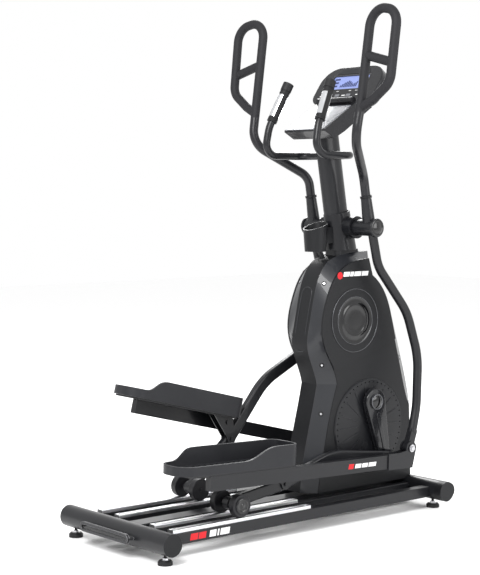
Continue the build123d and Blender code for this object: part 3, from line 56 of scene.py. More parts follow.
def surface_group():
    """Fine bump, soft gloss patches and a rubbed-edge mask, all read from object coordinates."""
    tree, source, result = group_tree(
        "surface_detail",
        (("Grain scale", 900.0), ("Grain depth", 0.1), ("Patch scale", 6.0), ("Edge radius", 0.0015)),
        (("Normal", "NodeSocketVector"), ("Patch", "NodeSocketFloat"), ("Edge", "NodeSocketFloat")))
    nodes, links = tree.nodes, tree.links
    place = nodes.new("ShaderNodeTexCoord")
    grain = nodes.new("ShaderNodeTexNoise")
    grain.inputs["Detail"].default_value = 3
    links.new(place.outputs["Object"], grain.inputs["Vector"])
    links.new(source.outputs["Grain scale"], grain.inputs["Scale"])
    bump = nodes.new("ShaderNodeBump")
    bump.inputs["Distance"].default_value = 0.0006
    links.new(source.outputs["Grain depth"], bump.inputs["Strength"])
    links.new(grain.outputs["Fac"], bump.inputs["Height"])
    links.new(bump.outputs["Normal"], result.inputs["Normal"])
    patch = nodes.new("ShaderNodeTexNoise")
    patch.inputs["Detail"].default_value = 4
    links.new(place.outputs["Object"], patch.inputs["Vector"])
    links.new(source.outputs["Patch scale"], patch.inputs["Scale"])
    links.new(patch.outputs["Fac"], result.inputs["Patch"])
    bevel = nodes.new("ShaderNodeBevel")
    bevel.samples = 4
    links.new(source.outputs["Edge radius"], bevel.inputs["Radius"])
    shape = nodes.new("ShaderNodeNewGeometry")
    dot = nodes.new("ShaderNodeVectorMath")
    dot.operation = "DOT_PRODUCT"
    links.new(bevel.outputs["Normal"], dot.inputs[0])
    links.new(shape.outputs["Normal"], dot.inputs[1])
    ramp = nodes.new("ShaderNodeMapRange")
    ramp.inputs["From Min"].default_value = 0.985
    ramp.inputs["From Max"].default_value = 0.80
    links.new(dot.outputs["Value"], ramp.inputs["Value"])
    rub = nodes.new("ShaderNodeMath")
    rub.operation = "MULTIPLY"
    links.new(ramp.outputs["Result"], rub.inputs[0])
    links.new(patch.outputs["Fac"], rub.inputs[1])
    links.new(rub.outputs["Value"], result.inputs["Edge"])
    return tree


surface_detail = surface_group()


def finish_material(name, colour, worn, rough, rough_spread=0.08, metallic=0.0, coat=0.0, grain=(900, 0.1),
                    patch_scale=6.0, edge_radius=0.0015, specular=0.26):
    """Principled material whose colour, gloss and normal come from the surface detail group."""
    made = bpy.data.materials.new(name)
    made.use_nodes = True
    nodes, links = made.node_tree.nodes, made.node_tree.links
    shader = nodes["Principled BSDF"]
    detail = nodes.new("ShaderNodeGroup")
    detail.node_tree = surface_detail
    detail.name = "detail"
    detail.inputs["Grain scale"].default_value = grain[0]
    detail.inputs["Grain depth"].default_value = grain[1]
    detail.inputs["Patch scale"].default_value = patch_scale
    detail.inputs["Edge radius"].default_value = edge_radius
    tint = nodes.new("ShaderNodeMix")
    tint.name = "tint"
    tint.data_type = "RGBA"
    tint.inputs["A"].default_value = (*colour, 1)
    tint.inputs["B"].default_value = (*worn, 1)
    links.new(detail.outputs["Edge"], tint.inputs["Factor"])
    links.new(tint.outputs["Result"], shader.inputs["Base Color"])
    gloss = nodes.new("ShaderNodeMapRange")
    gloss.inputs["From Min"].default_value = 0.3
    gloss.inputs["From Max"].default_value = 0.7
    gloss.inputs["To Min"].default_value = rough - rough_spread
    gloss.inputs["To Max"].default_value = rough + rough_spread
    links.new(detail.outputs["Patch"], gloss.inputs["Value"])
    links.new(gloss.outputs["Result"], shader.inputs["Roughness"])
    links.new(detail.outputs["Normal"], shader.inputs["Normal"])
    shader.inputs["Metallic"].default_value = metallic
    shader.inputs["Coat Weight"].default_value = coat
    shader.inputs["Specular IOR Level"].default_value = specular
    return made


def paint_nodes(material, *names):
    """Gives CAD nodes this material."""
    for name in names:
        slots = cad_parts[name].data.materials
        slots.clear()
        slots.append(material)


charcoal = finish_material("charcoal_powder_coat", (0.0085, 0.0088, 0.0105), (0.035, 0.035, 0.038), 0.36,
                           grain=(700, 0.18), coat=0.15)
paint_nodes(charcoal, "rear_stabilizer", "front_stabilizer", "side_bars", "inner_bars", "centre_beam",
            "main_upright", "mast", "magnet_brake", "left_swing_arm", "right_swing_arm", "left_pedal_bar",
            "right_pedal_bar", "left_roller_arm", "right_roller_arm", "pulse_handlebar")

# ---------------------------------------------------------------- cranks
# Forged crank arms in the same charcoal, glossier and with brighter rubbed edges, clamped on a ground
# axle with a round cap.
crank_paint = finish_material("crank_gloss_paint", (0.009, 0.0093, 0.011), (0.16, 0.16, 0.17), 0.25,
                              coat=0.4, edge_radius=0.003)
paint_nodes(crank_paint, "left_crank_arm", "right_crank_arm")

# ---------------------------------------------------------------- moulded covers
# Injection-moulded black plastic with a fine spark-eroded grain.  Edges pick up a thin lighter line.
moulded = finish_material("grained_black_plastic", (0.0055, 0.0058, 0.007), (0.028, 0.028, 0.031), 0.42,
                          grain=(1600, 0.25), patch_scale=3)
paint_nodes(moulded, "left_side_panel", "right_side_panel", "rear_spine_cover", "front_cover",
            "bottle_holder", "rear_end_caps", "front_end_caps", "left_transport_wheel",
            "right_transport_wheel", "drive_pulley")
disc_plastic = finish_material("disc_cover_plastic", (0.0075, 0.0078, 0.0095), (0.05, 0.05, 0.055), 0.34,
                               grain=(1400, 0.12), coat=0.1)
paint_nodes(disc_plastic, "disc_covers", "top_shroud")
bevel_plastic = finish_material("bevel_grey_plastic", (0.017, 0.018, 0.021), (0.07, 0.07, 0.075), 0.3,
                                grain=(1200, 0.08), coat=0.3, patch_scale=2.5)
paint_nodes(bevel_plastic, "side_shells")

# ---------------------------------------------------------------- rails
# Extruded aluminium running rails, anodised, with fine drawing lines along their length.
aluminium = finish_material("anodised_rail", (0.88, 0.885, 0.9), (0.95, 0.95, 0.96), 0.34, metallic=1.0,
                            grain=(500, 0.05))
paint_nodes(aluminium, "left_rails", "right_rails")


def add_lines(material, axis_scale, wave_scale, strength):
    """Fine drawing lines: noise stretched along the machine, mixed into the material's colour."""
    nodes, links = material.node_tree.nodes, material.node_tree.links
    place = nodes.new("ShaderNodeTexCoord")
    stretch = nodes.new("ShaderNodeMapping")
    stretch.inputs["Scale"].default_value = axis_scale
    links.new(place.outputs["Object"], stretch.inputs["Vector"])
    lines = nodes.new("ShaderNodeTexNoise")
    lines.inputs["Scale"].default_value = wave_scale
    links.new(stretch.outputs["Vector"], lines.inputs["Vector"])
    shade = nodes.new("ShaderNodeMix")
    shade.data_type = "RGBA"
    shade.blend_type = "MULTIPLY"
    shade.inputs["Factor"].default_value = strength
    tint = nodes["tint"]
    links.new(tint.outputs["Result"], shade.inputs["A"])
    links.new(lines.outputs["Color"], shade.inputs["B"])
    links.new(shade.outputs["Result"], nodes["Principled BSDF"].inputs["Base Color"])


add_lines(aluminium, (0.02, 1, 1), 600, 0.35)

# ---------------------------------------------------------------- bright steel
# Ground axles, bearings, bolts and screws.
steel = finish_material("ground_steel", (0.55, 0.55, 0.57), (0.75, 0.75, 0.77), 0.25, metallic=1.0,
                        grain=(800, 0.05))
paint_nodes(steel, "rail_screws", "crank_axle", "crank_bearings", "flywheel_shaft", "pivot_shaft")
iron = finish_material("turned_flywheel", (0.3, 0.3, 0.31), (0.5, 0.5, 0.5), 0.35, metallic=1.0,
                       grain=(300, 0.1))
paint_nodes(iron, "flywheel")
add_lines(iron, (1, 0.05, 1), 300, 0.3)

# ---------------------------------------------------------------- feet and belt
# Black rubber feet on steel stems, and a ribbed drive belt.
rubber = finish_material("dull_rubber", (0.009, 0.009, 0.01), (0.03, 0.03, 0.03), 0.6,
                         grain=(500, 0.3), specular=0.3)
paint_nodes(rubber, "rear_left_foot", "rear_right_foot", "front_left_foot", "front_right_foot",
            "drive_belt")

# ---------------------------------------------------------------- rollers
# Dark urethane wheels with a flat pressed cap.
urethane = finish_material("roller_urethane", (0.011, 0.011, 0.013), (0.05, 0.05, 0.052), 0.38,
                           grain=(600, 0.1))
paint_nodes(urethane, "left_rollers", "right_rollers")

# ---------------------------------------------------------------- pedals
# Moulded pedals of a mid-dark grey plastic with a raised tread.
pedal_plastic = finish_material("pedal_plastic", (0.014, 0.0145, 0.017), (0.06, 0.06, 0.065), 0.46,
                                grain=(900, 0.3), patch_scale=9)
paint_nodes(pedal_plastic, "left_pedal", "right_pedal")

# ---------------------------------------------------------------- handles and grips
# Foam-sleeved moving handles, and moulded grips on the fixed bar with polished contact plates.
foam = finish_material("handle_foam", (0.009, 0.009, 0.01), (0.02, 0.02, 0.022), 0.62, grain=(420, 0.5),
                       specular=0.3)
paint_nodes(foam, "pulse_grips")
sleeve = finish_material("painted_tube_with_foam", (0.009, 0.009, 0.011), (0.03, 0.03, 0.032), 0.6,
                         grain=(420, 0.35), specular=0.35)
foam_start = 1.50
sleeve_nodes = sleeve.node_tree.nodes
sleeve_place = sleeve_nodes.new("ShaderNodeTexCoord")
sleeve_axes = sleeve_nodes.new("ShaderNodeSeparateXYZ")
sleeve.node_tree.links.new(sleeve_place.outputs["Object"], sleeve_axes.inputs["Vector"])
sleeve_gloss = sleeve_nodes.new("ShaderNodeMapRange")
sleeve_gloss.inputs["From Min"].default_value = foam_start - 0.001
sleeve_gloss.inputs["From Max"].default_value = foam_start + 0.001
sleeve_gloss.inputs["To Min"].default_value = 0.33
sleeve_gloss.inputs["To Max"].default_value = 0.68
sleeve.node_tree.links.new(sleeve_axes.outputs["Z"], sleeve_gloss.inputs["Value"])
sleeve.node_tree.links.new(sleeve_gloss.outputs["Result"],
                           sleeve_nodes["Principled BSDF"].inputs["Roughness"])
paint_nodes(sleeve, "left_handle", "right_handle")
contact = finish_material("contact_plate", (0.72, 0.73, 0.75), (0.85, 0.85, 0.86), 0.16, metallic=1.0,
                          grain=(300, 0.02))
paint_nodes(contact, "contact_plates")
thumb_red = finish_material("thumb_cap", (0.2, 0.06, 0.045), (0.35, 0.16, 0.13), 0.4, grain=(900, 0.1))
paint_nodes(thumb_red, "left_thumb_button", "right_thumb_button")

# ---------------------------------------------------------------- carrying handle
# Steel loop on the rear tube, with a brighter plated look along its rim.
plated = finish_material("plated_loop", (0.035, 0.035, 0.038), (0.6, 0.6, 0.62), 0.3, metallic=0.6,
                         edge_radius=0.004)
paint_nodes(plated, "lifting_handle")

# ---------------------------------------------------------------- console, tray and keys
# Two-part moulded console with a pale liquid-crystal window, light keys and a clear tray sheet.
console_plastic = finish_material("console_plastic", (0.009, 0.0092, 0.011), (0.05, 0.05, 0.055), 0.32,
                                  grain=(1500, 0.15), coat=0.2)
paint_nodes(console_plastic, "console_housing", "reading_tray")
lcd = finish_material("display_window", (0.19, 0.24, 0.52), (0.3, 0.34, 0.6), 0.14, coat=0.6,
                      grain=(1200, 0.02))
paint_nodes(lcd, "display_screen")
key_plastic = finish_material("key_plastic", (0.16, 0.165, 0.18), (0.3, 0.3, 0.31), 0.4, grain=(1200, 0.1))
paint_nodes(key_plastic, "left_console_key", "right_console_key")
sheet_plastic = finish_material("clear_sheet", (0.3, 0.31, 0.34), (0.6, 0.6, 0.64), 0.15, coat=0.5,
                                grain=(800, 0.02))
sheet_plastic.node_tree.nodes["Principled BSDF"].inputs["Alpha"].default_value = 0.55
paint_nodes(sheet_plastic, "tray_panel")

# ---------------------------------------------------------------- shell screws
# Socket screws that hold the bevelled shells to the spine, sunk in round pockets: three down each
# rear bevel and three down each front bevel. Each pocket is a shallow rimmed disc coloured near-black
# as painted shade for the recess.


def add_piece(name, made, material, body, smooth=False):
    """Turns a bmesh into a piece that rides on a body."""
    for face in made.faces:
        face.smooth = smooth
    mesh = bpy.data.meshes.new(name)
    made.to_mesh(mesh)
    made.free()
    mesh.materials.append(material)
    piece = bpy.data.objects.new(name, mesh)
    bpy.context.scene.collection.objects.link(piece)
    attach(piece, body)
    return piece


def turned_profile(made, profile, matrix, steps=40):
    """Full turn of a (radius, height) profile about local Z, placed by a matrix."""
    verts = [made.verts.new(matrix @ Vector((radius, 0, height))) for radius, height in profile]
    edges = [made.edges.new(pair) for pair in zip(verts, verts[1:])]
    bmesh.ops.spin(made, geom=verts + edges, cent=matrix.translation,
                   axis=matrix.to_3x3() @ Vector((0, 0, 1)), angle=math.tau, steps=steps, use_merge=True)
    bmesh.ops.remove_doubles(made, verts=made.verts, dist=0.00001)
    bmesh.ops.recalc_face_normals(made, faces=made.faces)


def facing(place, normal):
    """Matrix at a place whose local Z points along the normal."""
    return Matrix.Translation(place) @ Vector(normal).to_track_quat("Z", "Y").to_matrix().to_4x4()


def surface_hit(node, start, direction):
    """Where a ray meets a CAD node, and the surface normal there."""
    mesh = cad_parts[node].data
    tree = BVHTree.FromPolygons([v.co for v in mesh.vertices], [p.vertices for p in mesh.polygons])
    place, normal = tree.ray_cast(Vector(start), Vector(direction))[:2]
    return place, normal


screw_heights = (0.389, 0.571, 0.876)
bevel_y = 0.066
behind_x = -0.6
ahead_x = 1.2
screws = bmesh.new()
pockets = bmesh.new()
for side in (-1, 1):
    for height in screw_heights:
        for start_x, direction in ((behind_x, (1, 0, 0)), (ahead_x, (-1, 0, 0))):
            place, normal = surface_hit("side_shells", (start_x, side * bevel_y, height), direction)
            spot = facing(place, normal)
            turned_profile(pockets, ((0.0, 0.0002), (0.0072, 0.0002), (0.0076, 0.0009), (0.0088, 0.0009),
                                     (0.0092, 0.0001)), spot, steps=28)
            turned_profile(screws, ((0.0, 0.0003), (0.0019, 0.0003), (0.0021, 0.0011), (0.0042, 0.0011),
                                    (0.0048, 0.0003)), spot, steps=24)
# Pocket colour is painted shade: near-black standing in for the shade inside each screw recess.
pocket_painted_shade = finish_material("pocket_painted_shade", (0.0012, 0.0012, 0.0014), (0.02, 0.02, 0.02), 0.5)
add_piece("shell_screw_pocket_shade", pockets, pocket_painted_shade, "base")
add_piece("shell_screws", screws, steel, "base")

# ---------------------------------------------------------------- side emblems
# A round dished plate on each side panel, glossy black with stepped rings and two thin bright rings.
emblem_place = (0.362, 0.733)
emblem_y = 0.0972
gloss_black = finish_material("gloss_black_plate", (0.002, 0.002, 0.0026), (0.03, 0.03, 0.03), 0.16,
                              coat=0.6, grain=(900, 0.02))
ring_grey = finish_material("ring_satin", (0.11, 0.112, 0.12), (0.3, 0.3, 0.3), 0.3, metallic=0.7,
                            grain=(900, 0.03))
dishes = bmesh.new()
rings = bmesh.new()
for side in (-1, 1):
    spot = facing((emblem_place[0], side * emblem_y, emblem_place[1]), (0, side, 0))
    turned_profile(dishes, ((0.0, 0.0022), (0.030, 0.0020), (0.052, 0.0008), (0.054, 0.0016),
                            (0.064, 0.0012), (0.066, 0.0004), (0.085, 0.0004), (0.0885, 0.0015)), spot,
                   steps=96)
    for radius in (0.0896, 0.1188):
        turned_profile(rings, ((radius - 0.0010, 0.0009), (radius - 0.0006, 0.0022),
                               (radius + 0.0006, 0.0022),
                               (radius + 0.0010, 0.0009)), spot, steps=96)
add_piece("emblem_dishes", dishes, gloss_black, "base", smooth=True)
add_piece("emblem_rings", rings, ring_grey, "base", smooth=True)

# ---------------------------------------------------------------- printed marks
# Plain screen-printed marks where the maker's would be: a red dot with pale bars on the side panel,
# and slanted red and white bars on the side bar and on the pedal bar.
print_red = finish_material("print_red", (0.55, 0.012, 0.018), (0.6, 0.05, 0.05), 0.38, grain=(900, 0.03))
print_white = finish_material("print_white", (0.75, 0.75, 0.75), (0.6, 0.6, 0.6), 0.4, grain=(900, 0.03))


def slanted_bar(made, x0, x1, z0, z1, y, side, slant=0.004, thickness=0.0003):
    """Thin slanted block printed on a face that looks sideways."""
    corners = ((x0, z0), (x1, z0), (x1 + slant, z1), (x0 + slant, z1))
    face = made.faces.new([made.verts.new((x, y, z)) for x, z in corners])
    grown = bmesh.ops.extrude_face_region(made, geom=[face])
    new_verts = [item for item in grown["geom"] if isinstance(item, bmesh.types.BMVert)]
    bmesh.ops.translate(made, vec=(0, side * thickness, 0), verts=new_verts)
    bmesh.ops.recalc_face_normals(made, faces=made.faces)


panel_face_y = 0.0971
side_bar_face_y = 0.2251
panel_mark_z = 0.9
panel_mark_height = 0.017
panel_marks = bmesh.new()
panel_dots = bmesh.new()
bar_red = bmesh.new()
bar_white = bmesh.new()
for side in (-1, 1):
    for x0, x1 in ((0.300, 0.331), (0.335, 0.352), (0.356, 0.391), (0.395, 0.428)):
        slanted_bar(panel_marks, x0, x1, panel_mark_z, panel_mark_z + panel_mark_height,
                    side * panel_face_y, side)
    turned_profile(panel_dots, ((0.0, 0.0006), (0.0125, 0.0006), (0.0135, 0.0)),
                   facing((0.284, side * panel_face_y, 0.904), (0, side, 0)), steps=36)
    for x0, x1 in ((-0.529, -0.497), (-0.493, -0.462)):
        slanted_bar(bar_red, x0, x1, 0.054, 0.076, side * side_bar_face_y, side)
    for x0, x1 in ((-0.446, -0.418), (-0.412, -0.405), (-0.399, -0.359)):
        slanted_bar(bar_white, x0, x1, 0.054, 0.076, side * side_bar_face_y, side)
add_piece("panel_marks", panel_marks, print_white, "base")
add_piece("panel_dots", panel_dots, print_red, "base")
add_piece("side_bar_red_marks", bar_red, print_red, "base")
add_piece("side_bar_white_marks", bar_white, print_white, "base")

joint_place = Vector((0.519958, 0, 0.2502))
pedal_bar_face_y = 0.2381
bar_pitch = {"right": math.radians(-1.7037), "left": math.radians(-14.3172)}
for hand, side in (("right", -1), ("left", 1)):
    pedal_red = bmesh.new()
    pedal_white = bmesh.new()
    slanted_bar(pedal_red, -0.325, -0.300, -0.052, -0.034, side * pedal_bar_face_y, side)
    for x0, x1 in ((-0.292, -0.262), (-0.257, -0.228), (-0.223, -0.185)):
        slanted_bar(pedal_white, x0, x1, -0.051, -0.036, side * pedal_bar_face_y, side)
    tilt = Matrix.Translation(joint_place) @ Matrix.Rotation(-bar_pitch[hand], 4, "Y")
    pedal_red.transform(tilt)
    pedal_white.transform(tilt)
    add_piece(hand + "_pedal_bar_red_mark", pedal_red, print_red, hand + "_link")
    add_piece(hand + "_pedal_bar_white_marks", pedal_white, print_white, hand + "_link")

# ---------------------------------------------------------------- spine inset
# Raised rounded outline on the rear of the spine, moulded with the cover.
inset_half_width = 0.027
outline = []
for side, heights in ((1, (0.62, 0.68, 0.74, 0.80, 0.86)), (-1, (0.86, 0.80, 0.74, 0.68, 0.62))):
    for height in heights:
        place, normal = surface_hit("rear_spine_cover", (behind_x, side * inset_half_width, height),
                                    (1, 0, 0))
        outline.append(place)
inset_curve = bpy.data.curves.new("spine_outline", "CURVE")
inset_curve.dimensions = "3D"
inset_curve.bevel_depth = 0.0016
inset_curve.bevel_resolution = 3
spline = inset_curve.splines.new("NURBS")
spline.points.add(len(outline) - 1)
for point, place in zip(spline.points, outline):
    point.co = (*place, 1)
spline.use_cyclic_u = True
spline.order_u = 3
inset_curve.materials.append(bevel_plastic)
inset = bpy.data.objects.new("spine_outline", inset_curve)
bpy.context.scene.collection.objects.link(inset)
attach(inset, "base")

# ---------------------------------------------------------------- crank fittings
# Domed axle caps with a bright rim on the crank hubs, and a raised rib down each arm.
crank_place = Vector((0.449, 0, 0.42))
pin_place = {"right": Vector((0.501104, 0, 0.206259)), "left": Vector((0.396896, 0, 0.633741))}
crank_caps = bmesh.new()
crank_rims = bmesh.new()
for hand, side in (("right", -1), ("left", 1)):
    spot = facing((crank_place.x, side * 0.1321, crank_place.z), (0, side, 0))
    turned_profile(crank_caps, ((0.0, 0.0035), (0.012, 0.0030), (0.021, 0.0012), (0.0235, 0.0)), spot,
                   steps=48)
    turned_profile(crank_rims, ((0.0250, 0.0), (0.0258, 0.0016), (0.0285, 0.0016), (0.0293, 0.0)), spot,
                   steps=48)
add_piece("crank_axle_caps", crank_caps, gloss_black, "crank", smooth=True)
add_piece("crank_cap_rims", crank_rims, ring_grey, "crank", smooth=True)
crank_ribs = bmesh.new()
for hand, side in (("right", -1), ("left", 1)):
    along = (pin_place[hand] - crank_place).normalized()
    across = Vector((along.z, 0, -along.x))
    lower_y = side * 0.1259
    loop = [crank_place + along * a + across * b for a, b in
            ((0.048, -0.010), (0.188, -0.006), (0.194, 0.0), (0.188, 0.006), (0.048, 0.010), (0.042, 0.0))]
    face = crank_ribs.faces.new([crank_ribs.verts.new((v.x, lower_y, v.z)) for v in loop])
    grown = bmesh.ops.extrude_face_region(crank_ribs, geom=[face])
    top = [item for item in grown["geom"] if isinstance(item, bmesh.types.BMVert)]
    bmesh.ops.translate(crank_ribs, vec=(0, side * 0.003, 0), verts=top)
bmesh.ops.recalc_face_normals(crank_ribs, faces=crank_ribs.faces)
rib_edges = [edge for edge in crank_ribs.edges if abs(edge.calc_face_angle(0)) > 0.5]
bmesh.ops.bevel(crank_ribs, geom=rib_edges, offset=0.0008, affect="EDGES", segments=2, profile=0.5,
                material=-1)
add_piece("crank_ribs", crank_ribs, crank_paint, "crank")

# ---------------------------------------------------------------- bolts and caps of the linkage
# Hexagon bolts on washers at the pedal bar joints, pressed caps on the rollers, and ringed end discs
# on the pivot hubs.


def hex_bolt(made, matrix, across_flats, height, washer):
    """Hexagon head with a washer under it, on the matrix's local Z."""
    turned_profile(made, ((0.0, washer), (across_flats * 0.82, washer), (across_flats * 0.85, washer * 0.6),
                          (across_flats * 0.85, 0.0)), matrix, steps=36)
    radius = across_flats / math.sqrt(3)
    rings_of_verts = []
    for level in (washer, washer + height * 0.85):
        rings_of_verts.append([made.verts.new(matrix @ Vector((radius * math.cos(math.tau * k / 6),
                                                              radius * math.sin(math.tau * k / 6), level)))
                               for k in range(6)])
    crown = radius * 0.86
    top_ring = [made.verts.new(matrix @ Vector((crown * math.cos(math.tau * k / 6),
                                               crown * math.sin(math.tau * k / 6), washer + height)))
                for k in range(6)]
    rings_of_verts.append(top_ring)
    for lower, upper in zip(rings_of_verts, rings_of_verts[1:]):
        for k in range(6):
            made.faces.new((lower[k], lower[(k + 1) % 6], upper[(k + 1) % 6], upper[k]))
    made.faces.new(top_ring)
    bmesh.ops.recalc_face_normals(made, faces=made.faces)


for hand, side in (("right", -1), ("left", 1)):
    bolt = bmesh.new()
    hex_bolt(bolt, facing((joint_place.x, side * 0.2471, joint_place.z), (0, side, 0)),
             0.017, 0.006, 0.0012)
    add_piece(hand + "_joint_bolt", bolt, steel, hand + "_link")
    low_corner, high_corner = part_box(hand + "_rollers")
    middle_x = (low_corner[0] + high_corner[0]) / 2
    middle_z = (low_corner[2] + high_corner[2]) / 2
    caps = bmesh.new()
    turned_profile(caps, ((0.0, 0.0010), (0.006, 0.0010), (0.007, 0.0002), (0.018, 0.0002),
                          (0.0195, 0.0012), (0.0245, 0.0012), (0.026, 0.0)),
                   facing((middle_x, side * 0.2221, middle_z), (0, side, 0)), steps=48)
    add_piece(hand + "_roller_cap", caps, gloss_black, hand + "_roller_pair",
              smooth=True)
    hub = bmesh.new()
    hub_spot = facing((0.383, side * 0.1921, 1.082), (0, side, 0))
    turned_profile(hub, ((0.0, 0.0014), (0.019, 0.0012), (0.0205, 0.0002), (0.0225, 0.0002),
                         (0.024, 0.0012), (0.0295, 0.0010), (0.031, 0.0)), hub_spot, steps=56)
    add_piece(hand + "_hub_disc", hub, gloss_black, hand + "_arm", smooth=True)
    collar = bmesh.new()
    base_point = Vector((0.383 - 0.110 * math.tan(math.radians(9.6)), side * 0.150, 1.082 + 0.110))
    lean = Vector((-math.sin(math.radians(9.6)), 0, math.cos(math.radians(9.6))))
    turned_profile(collar, ((0.0172, 0.0), (0.0215, 0.0), (0.0222, 0.002), (0.0222, 0.008), (0.0212, 0.010),
                            (0.0172, 0.010)), facing(base_point, lean), steps=44)
    add_piece(hand + "_socket_collar", collar, moulded, hand + "_arm", smooth=True)

# ---------------------------------------------------------------- rail grooves
# Two dark lines along the top of each rail, where the extrusion is grooved.
groove_dark = finish_material("groove_shadow", (0.05, 0.05, 0.052), (0.1, 0.1, 0.1), 0.5, metallic=0.4)
grooves = bmesh.new()
for lane, length in ((0.205, 0.620), (0.102, 0.651)):
    for side in (-1, 1):
        x0 = -0.660 + 0.064 + 0.025
        x1 = -0.660 + 0.064 + length - 0.025
        for shift in (-0.0085, 0.0085):
            corners = ((x0, -0.0009), (x1, -0.0009), (x1, 0.0009), (x0, 0.0009))
            face = grooves.faces.new([grooves.verts.new((x, side * lane + shift + y, 0.0971))
                                      for x, y in corners])
            grown = bmesh.ops.extrude_face_region(grooves, geom=[face])
            top = [item for item in grown["geom"] if isinstance(item, bmesh.types.BMVert)]
            bmesh.ops.translate(grooves, vec=(0, 0, 0.0002), verts=top)
bmesh.ops.recalc_face_normals(grooves, faces=grooves.faces)
add_piece("rail_grooves", grooves, groove_dark, "base")

# ---------------------------------------------------------------- console details
# Ridged band above the window, the window's plain read-out bars, a row of light key legends under it
# and a thin bright frame round it.
face_matrix = Matrix(((0, math.sin(math.radians(35)), -math.cos(math.radians(35)), 0.408),
                      (-1, 0, 0, 0),
                      (0, math.cos(math.radians(35)), math.sin(math.radians(35)), 1.612),
                      (0, 0, 0, 1)))


def face_block(made, x0, x1, y0, y1, level, height):
    """Block that stands on the console's face, in the face's own axes."""
    face = made.faces.new([made.verts.new((x, y, level))
                           for x, y in ((x0, y0), (x1, y0), (x1, y1), (x0, y1))])
    grown = bmesh.ops.extrude_face_region(made, geom=[face])
    top = [item for item in grown["geom"] if isinstance(item, bmesh.types.BMVert)]
    bmesh.ops.translate(made, vec=(0, 0, height), verts=top)
    bmesh.ops.recalc_face_normals(made, faces=made.faces)


ridges = bmesh.new()
for step in range(6):
    level = 0.0635 + step * 0.0042
    half = 0.088 - step * 0.003
    face_block(ridges, -half, half, level, level + 0.0024, 0.0, 0.0016)
ridges.transform(face_matrix)
add_piece("console_ridges", ridges, bevel_plastic, "base")

readout = bmesh.new()
window_level = -0.0028
for column, tall in enumerate((0.010, 0.016, 0.022, 0.026, 0.030, 0.026, 0.020, 0.014, 0.018, 0.024)):
    x0 = -0.045 + column * 0.0092
    face_block(readout, x0, x0 + 0.0066, 0.002, 0.002 + tall, window_level, 0.0002)
for x0 in (-0.088, 0.058):
    for row in range(3):
        face_block(readout, x0, x0 + 0.028, 0.004 + row * 0.016, 0.012 + row * 0.016, window_level, 0.0002)
readout.transform(face_matrix)
readout_ink = finish_material("readout_ink", (0.02, 0.03, 0.10), (0.04, 0.05, 0.12), 0.2, grain=(900, 0.02))
add_piece("display_readout", readout, readout_ink, "base")

legends = bmesh.new()
for x0 in (-0.125, -0.095, -0.006, 0.069, 0.099):
    face_block(legends, x0, x0 + 0.018, -0.042, -0.038, 0.0, 0.0003)
for x0 in (-0.11, -0.0775, -0.045, 0.0225, 0.055, 0.0875):
    face_block(legends, x0, x0 + 0.012, -0.0205, -0.0185, 0.0, 0.0003)
legends.transform(face_matrix)
add_piece("console_legends", legends, print_white, "base")

frame_strip = bmesh.new()
for x0, x1, y0, y1 in ((-0.099, 0.099, -0.0125, -0.0110), (-0.099, 0.099, 0.0550, 0.0565),
                       (-0.099, -0.0975, -0.0110, 0.0550), (0.0975, 0.099, -0.0110, 0.0550)):
    face_block(frame_strip, x0, x1, y0, y1, 0.0, 0.0008)
frame_strip.transform(face_matrix)
add_piece("window_frame", frame_strip, ring_grey, "base")

# ---------------------------------------------------------------- foot details
# Hexagon lock nuts on the foot stems.
for end in ("rear", "front"):
    for hand in ("left", "right"):
        low_corner, high_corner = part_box(end + "_" + hand + "_foot")
        middle = Vector(((low_corner[0] + high_corner[0]) / 2, (low_corner[1] + high_corner[1]) / 2, 0.0))
        nut = bmesh.new()
        hex_bolt(nut, Matrix.Translation(middle + Vector((0, 0, 0.0165))), 0.017, 0.006, 0.0012)
        add_piece(end + "_" + hand + "_foot_nut", nut, steel, end + "_" + hand + "_leveller")

# ---------------------------------------------------------------- grip rings
# Moulded rings along the fixed grips, at the head and at the foot of each.
grip_tip = Vector((0.212, 0.115, 1.614))
grip_foot = Vector((0.134, 0.134, 1.455))
grip_rings = bmesh.new()
for side in (-1, 1):
    tip = Vector((grip_tip.x, side * grip_tip.y, grip_tip.z))
    foot = Vector((grip_foot.x, side * grip_foot.y, grip_foot.z))
    up = (tip - foot).normalized()
    for distance in (0.028, 0.036, 0.141, 0.147, 0.153):
        turned_profile(grip_rings, ((0.0179, -0.0016), (0.0193, -0.0010), (0.0193, 0.0010),
                                    (0.0179, 0.0016)), facing(tip - up * distance, up), steps=36)
add_piece("grip_rings", grip_rings, foam, "base", smooth=True)

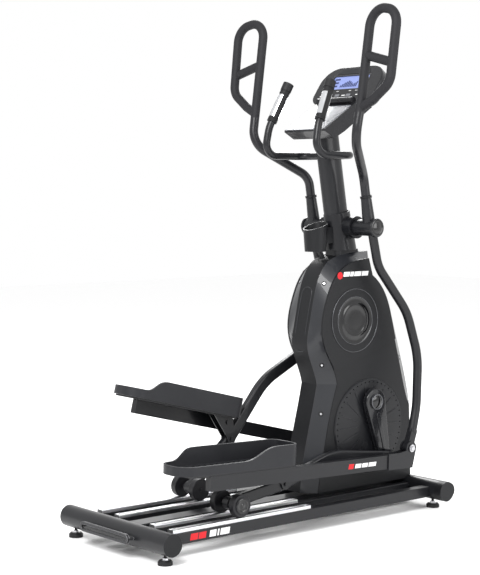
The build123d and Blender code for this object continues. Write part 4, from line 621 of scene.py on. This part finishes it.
# ---------------------------------------------------------------- floor, light and camera
# Plain white studio sweep, one large soft key from the upper left and two weaker fills.
rig_reach = 12.0
floor_mesh = bpy.data.meshes.new("studio_floor")
sweep = bmesh.new()
bmesh.ops.create_grid(sweep, x_segments=1, y_segments=1, size=rig_reach)
sweep.to_mesh(floor_mesh)
sweep.free()
floor = bpy.data.objects.new("studio_floor", floor_mesh)
bpy.context.scene.collection.objects.link(floor)
floor_white = bpy.data.materials.new("studio_white")
floor_white.use_nodes = True
floor_white.node_tree.nodes["Principled BSDF"].inputs["Base Color"].default_value = (0.97, 0.97, 0.97, 1)
floor_white.node_tree.nodes["Principled BSDF"].inputs["Roughness"].default_value = 0.9
floor_mesh.materials.append(floor_white)

world = bpy.data.worlds.new("studio")
world.use_nodes = True
world.node_tree.nodes["Background"].inputs["Color"].default_value = (1.0, 1.0, 1.0, 1)
world.node_tree.nodes["Background"].inputs["Strength"].default_value = 1.0
bpy.context.scene.world = world
bpy.context.scene.view_settings.view_transform = "Standard"


def soft_light(name, place, target, size, power):
    """Square area light at a place, aimed at a target."""
    lamp = bpy.data.lights.new(name, "AREA")
    lamp.shape = "SQUARE"
    lamp.size = size
    lamp.energy = power
    holder = bpy.data.objects.new(name, lamp)
    holder.matrix_world = Matrix.Translation(Vector(place)) @ (
        Vector(target) - Vector(place)).to_track_quat("-Z", "Y").to_matrix().to_4x4()
    bpy.context.scene.collection.objects.link(holder)


soft_light("key", (-3.2, -1.6, 3.6), (0, 0, 0.7), 2.2, 210)
soft_light("fill", (1.6, -4.2, 2.2), (0, 0, 0.8), 2.6, 90)
soft_light("back", (2.5, 3.0, 3.2), (0, 0, 1.0), 2.0, 120)

camera_data = bpy.data.cameras.new("camera")
camera_data.sensor_fit = "VERTICAL"
camera_data.sensor_height = 36
camera_data.lens = 93.9
camera_data.clip_end = 60
camera = bpy.data.objects.new("camera", camera_data)
camera_place = (-3.5865, -4.115, 1.231)
camera_yaw = math.radians(49.9)
camera_pitch = math.radians(3.81)
look = Vector((math.cos(camera_pitch) * math.cos(camera_yaw), math.cos(camera_pitch) * math.sin(camera_yaw),
               -math.sin(camera_pitch)))
camera.matrix_world = Matrix.Translation(camera_place) @ look.to_track_quat("-Z", "Y").to_matrix().to_4x4()
bpy.context.scene.collection.objects.link(camera)
bpy.context.scene.camera = camera
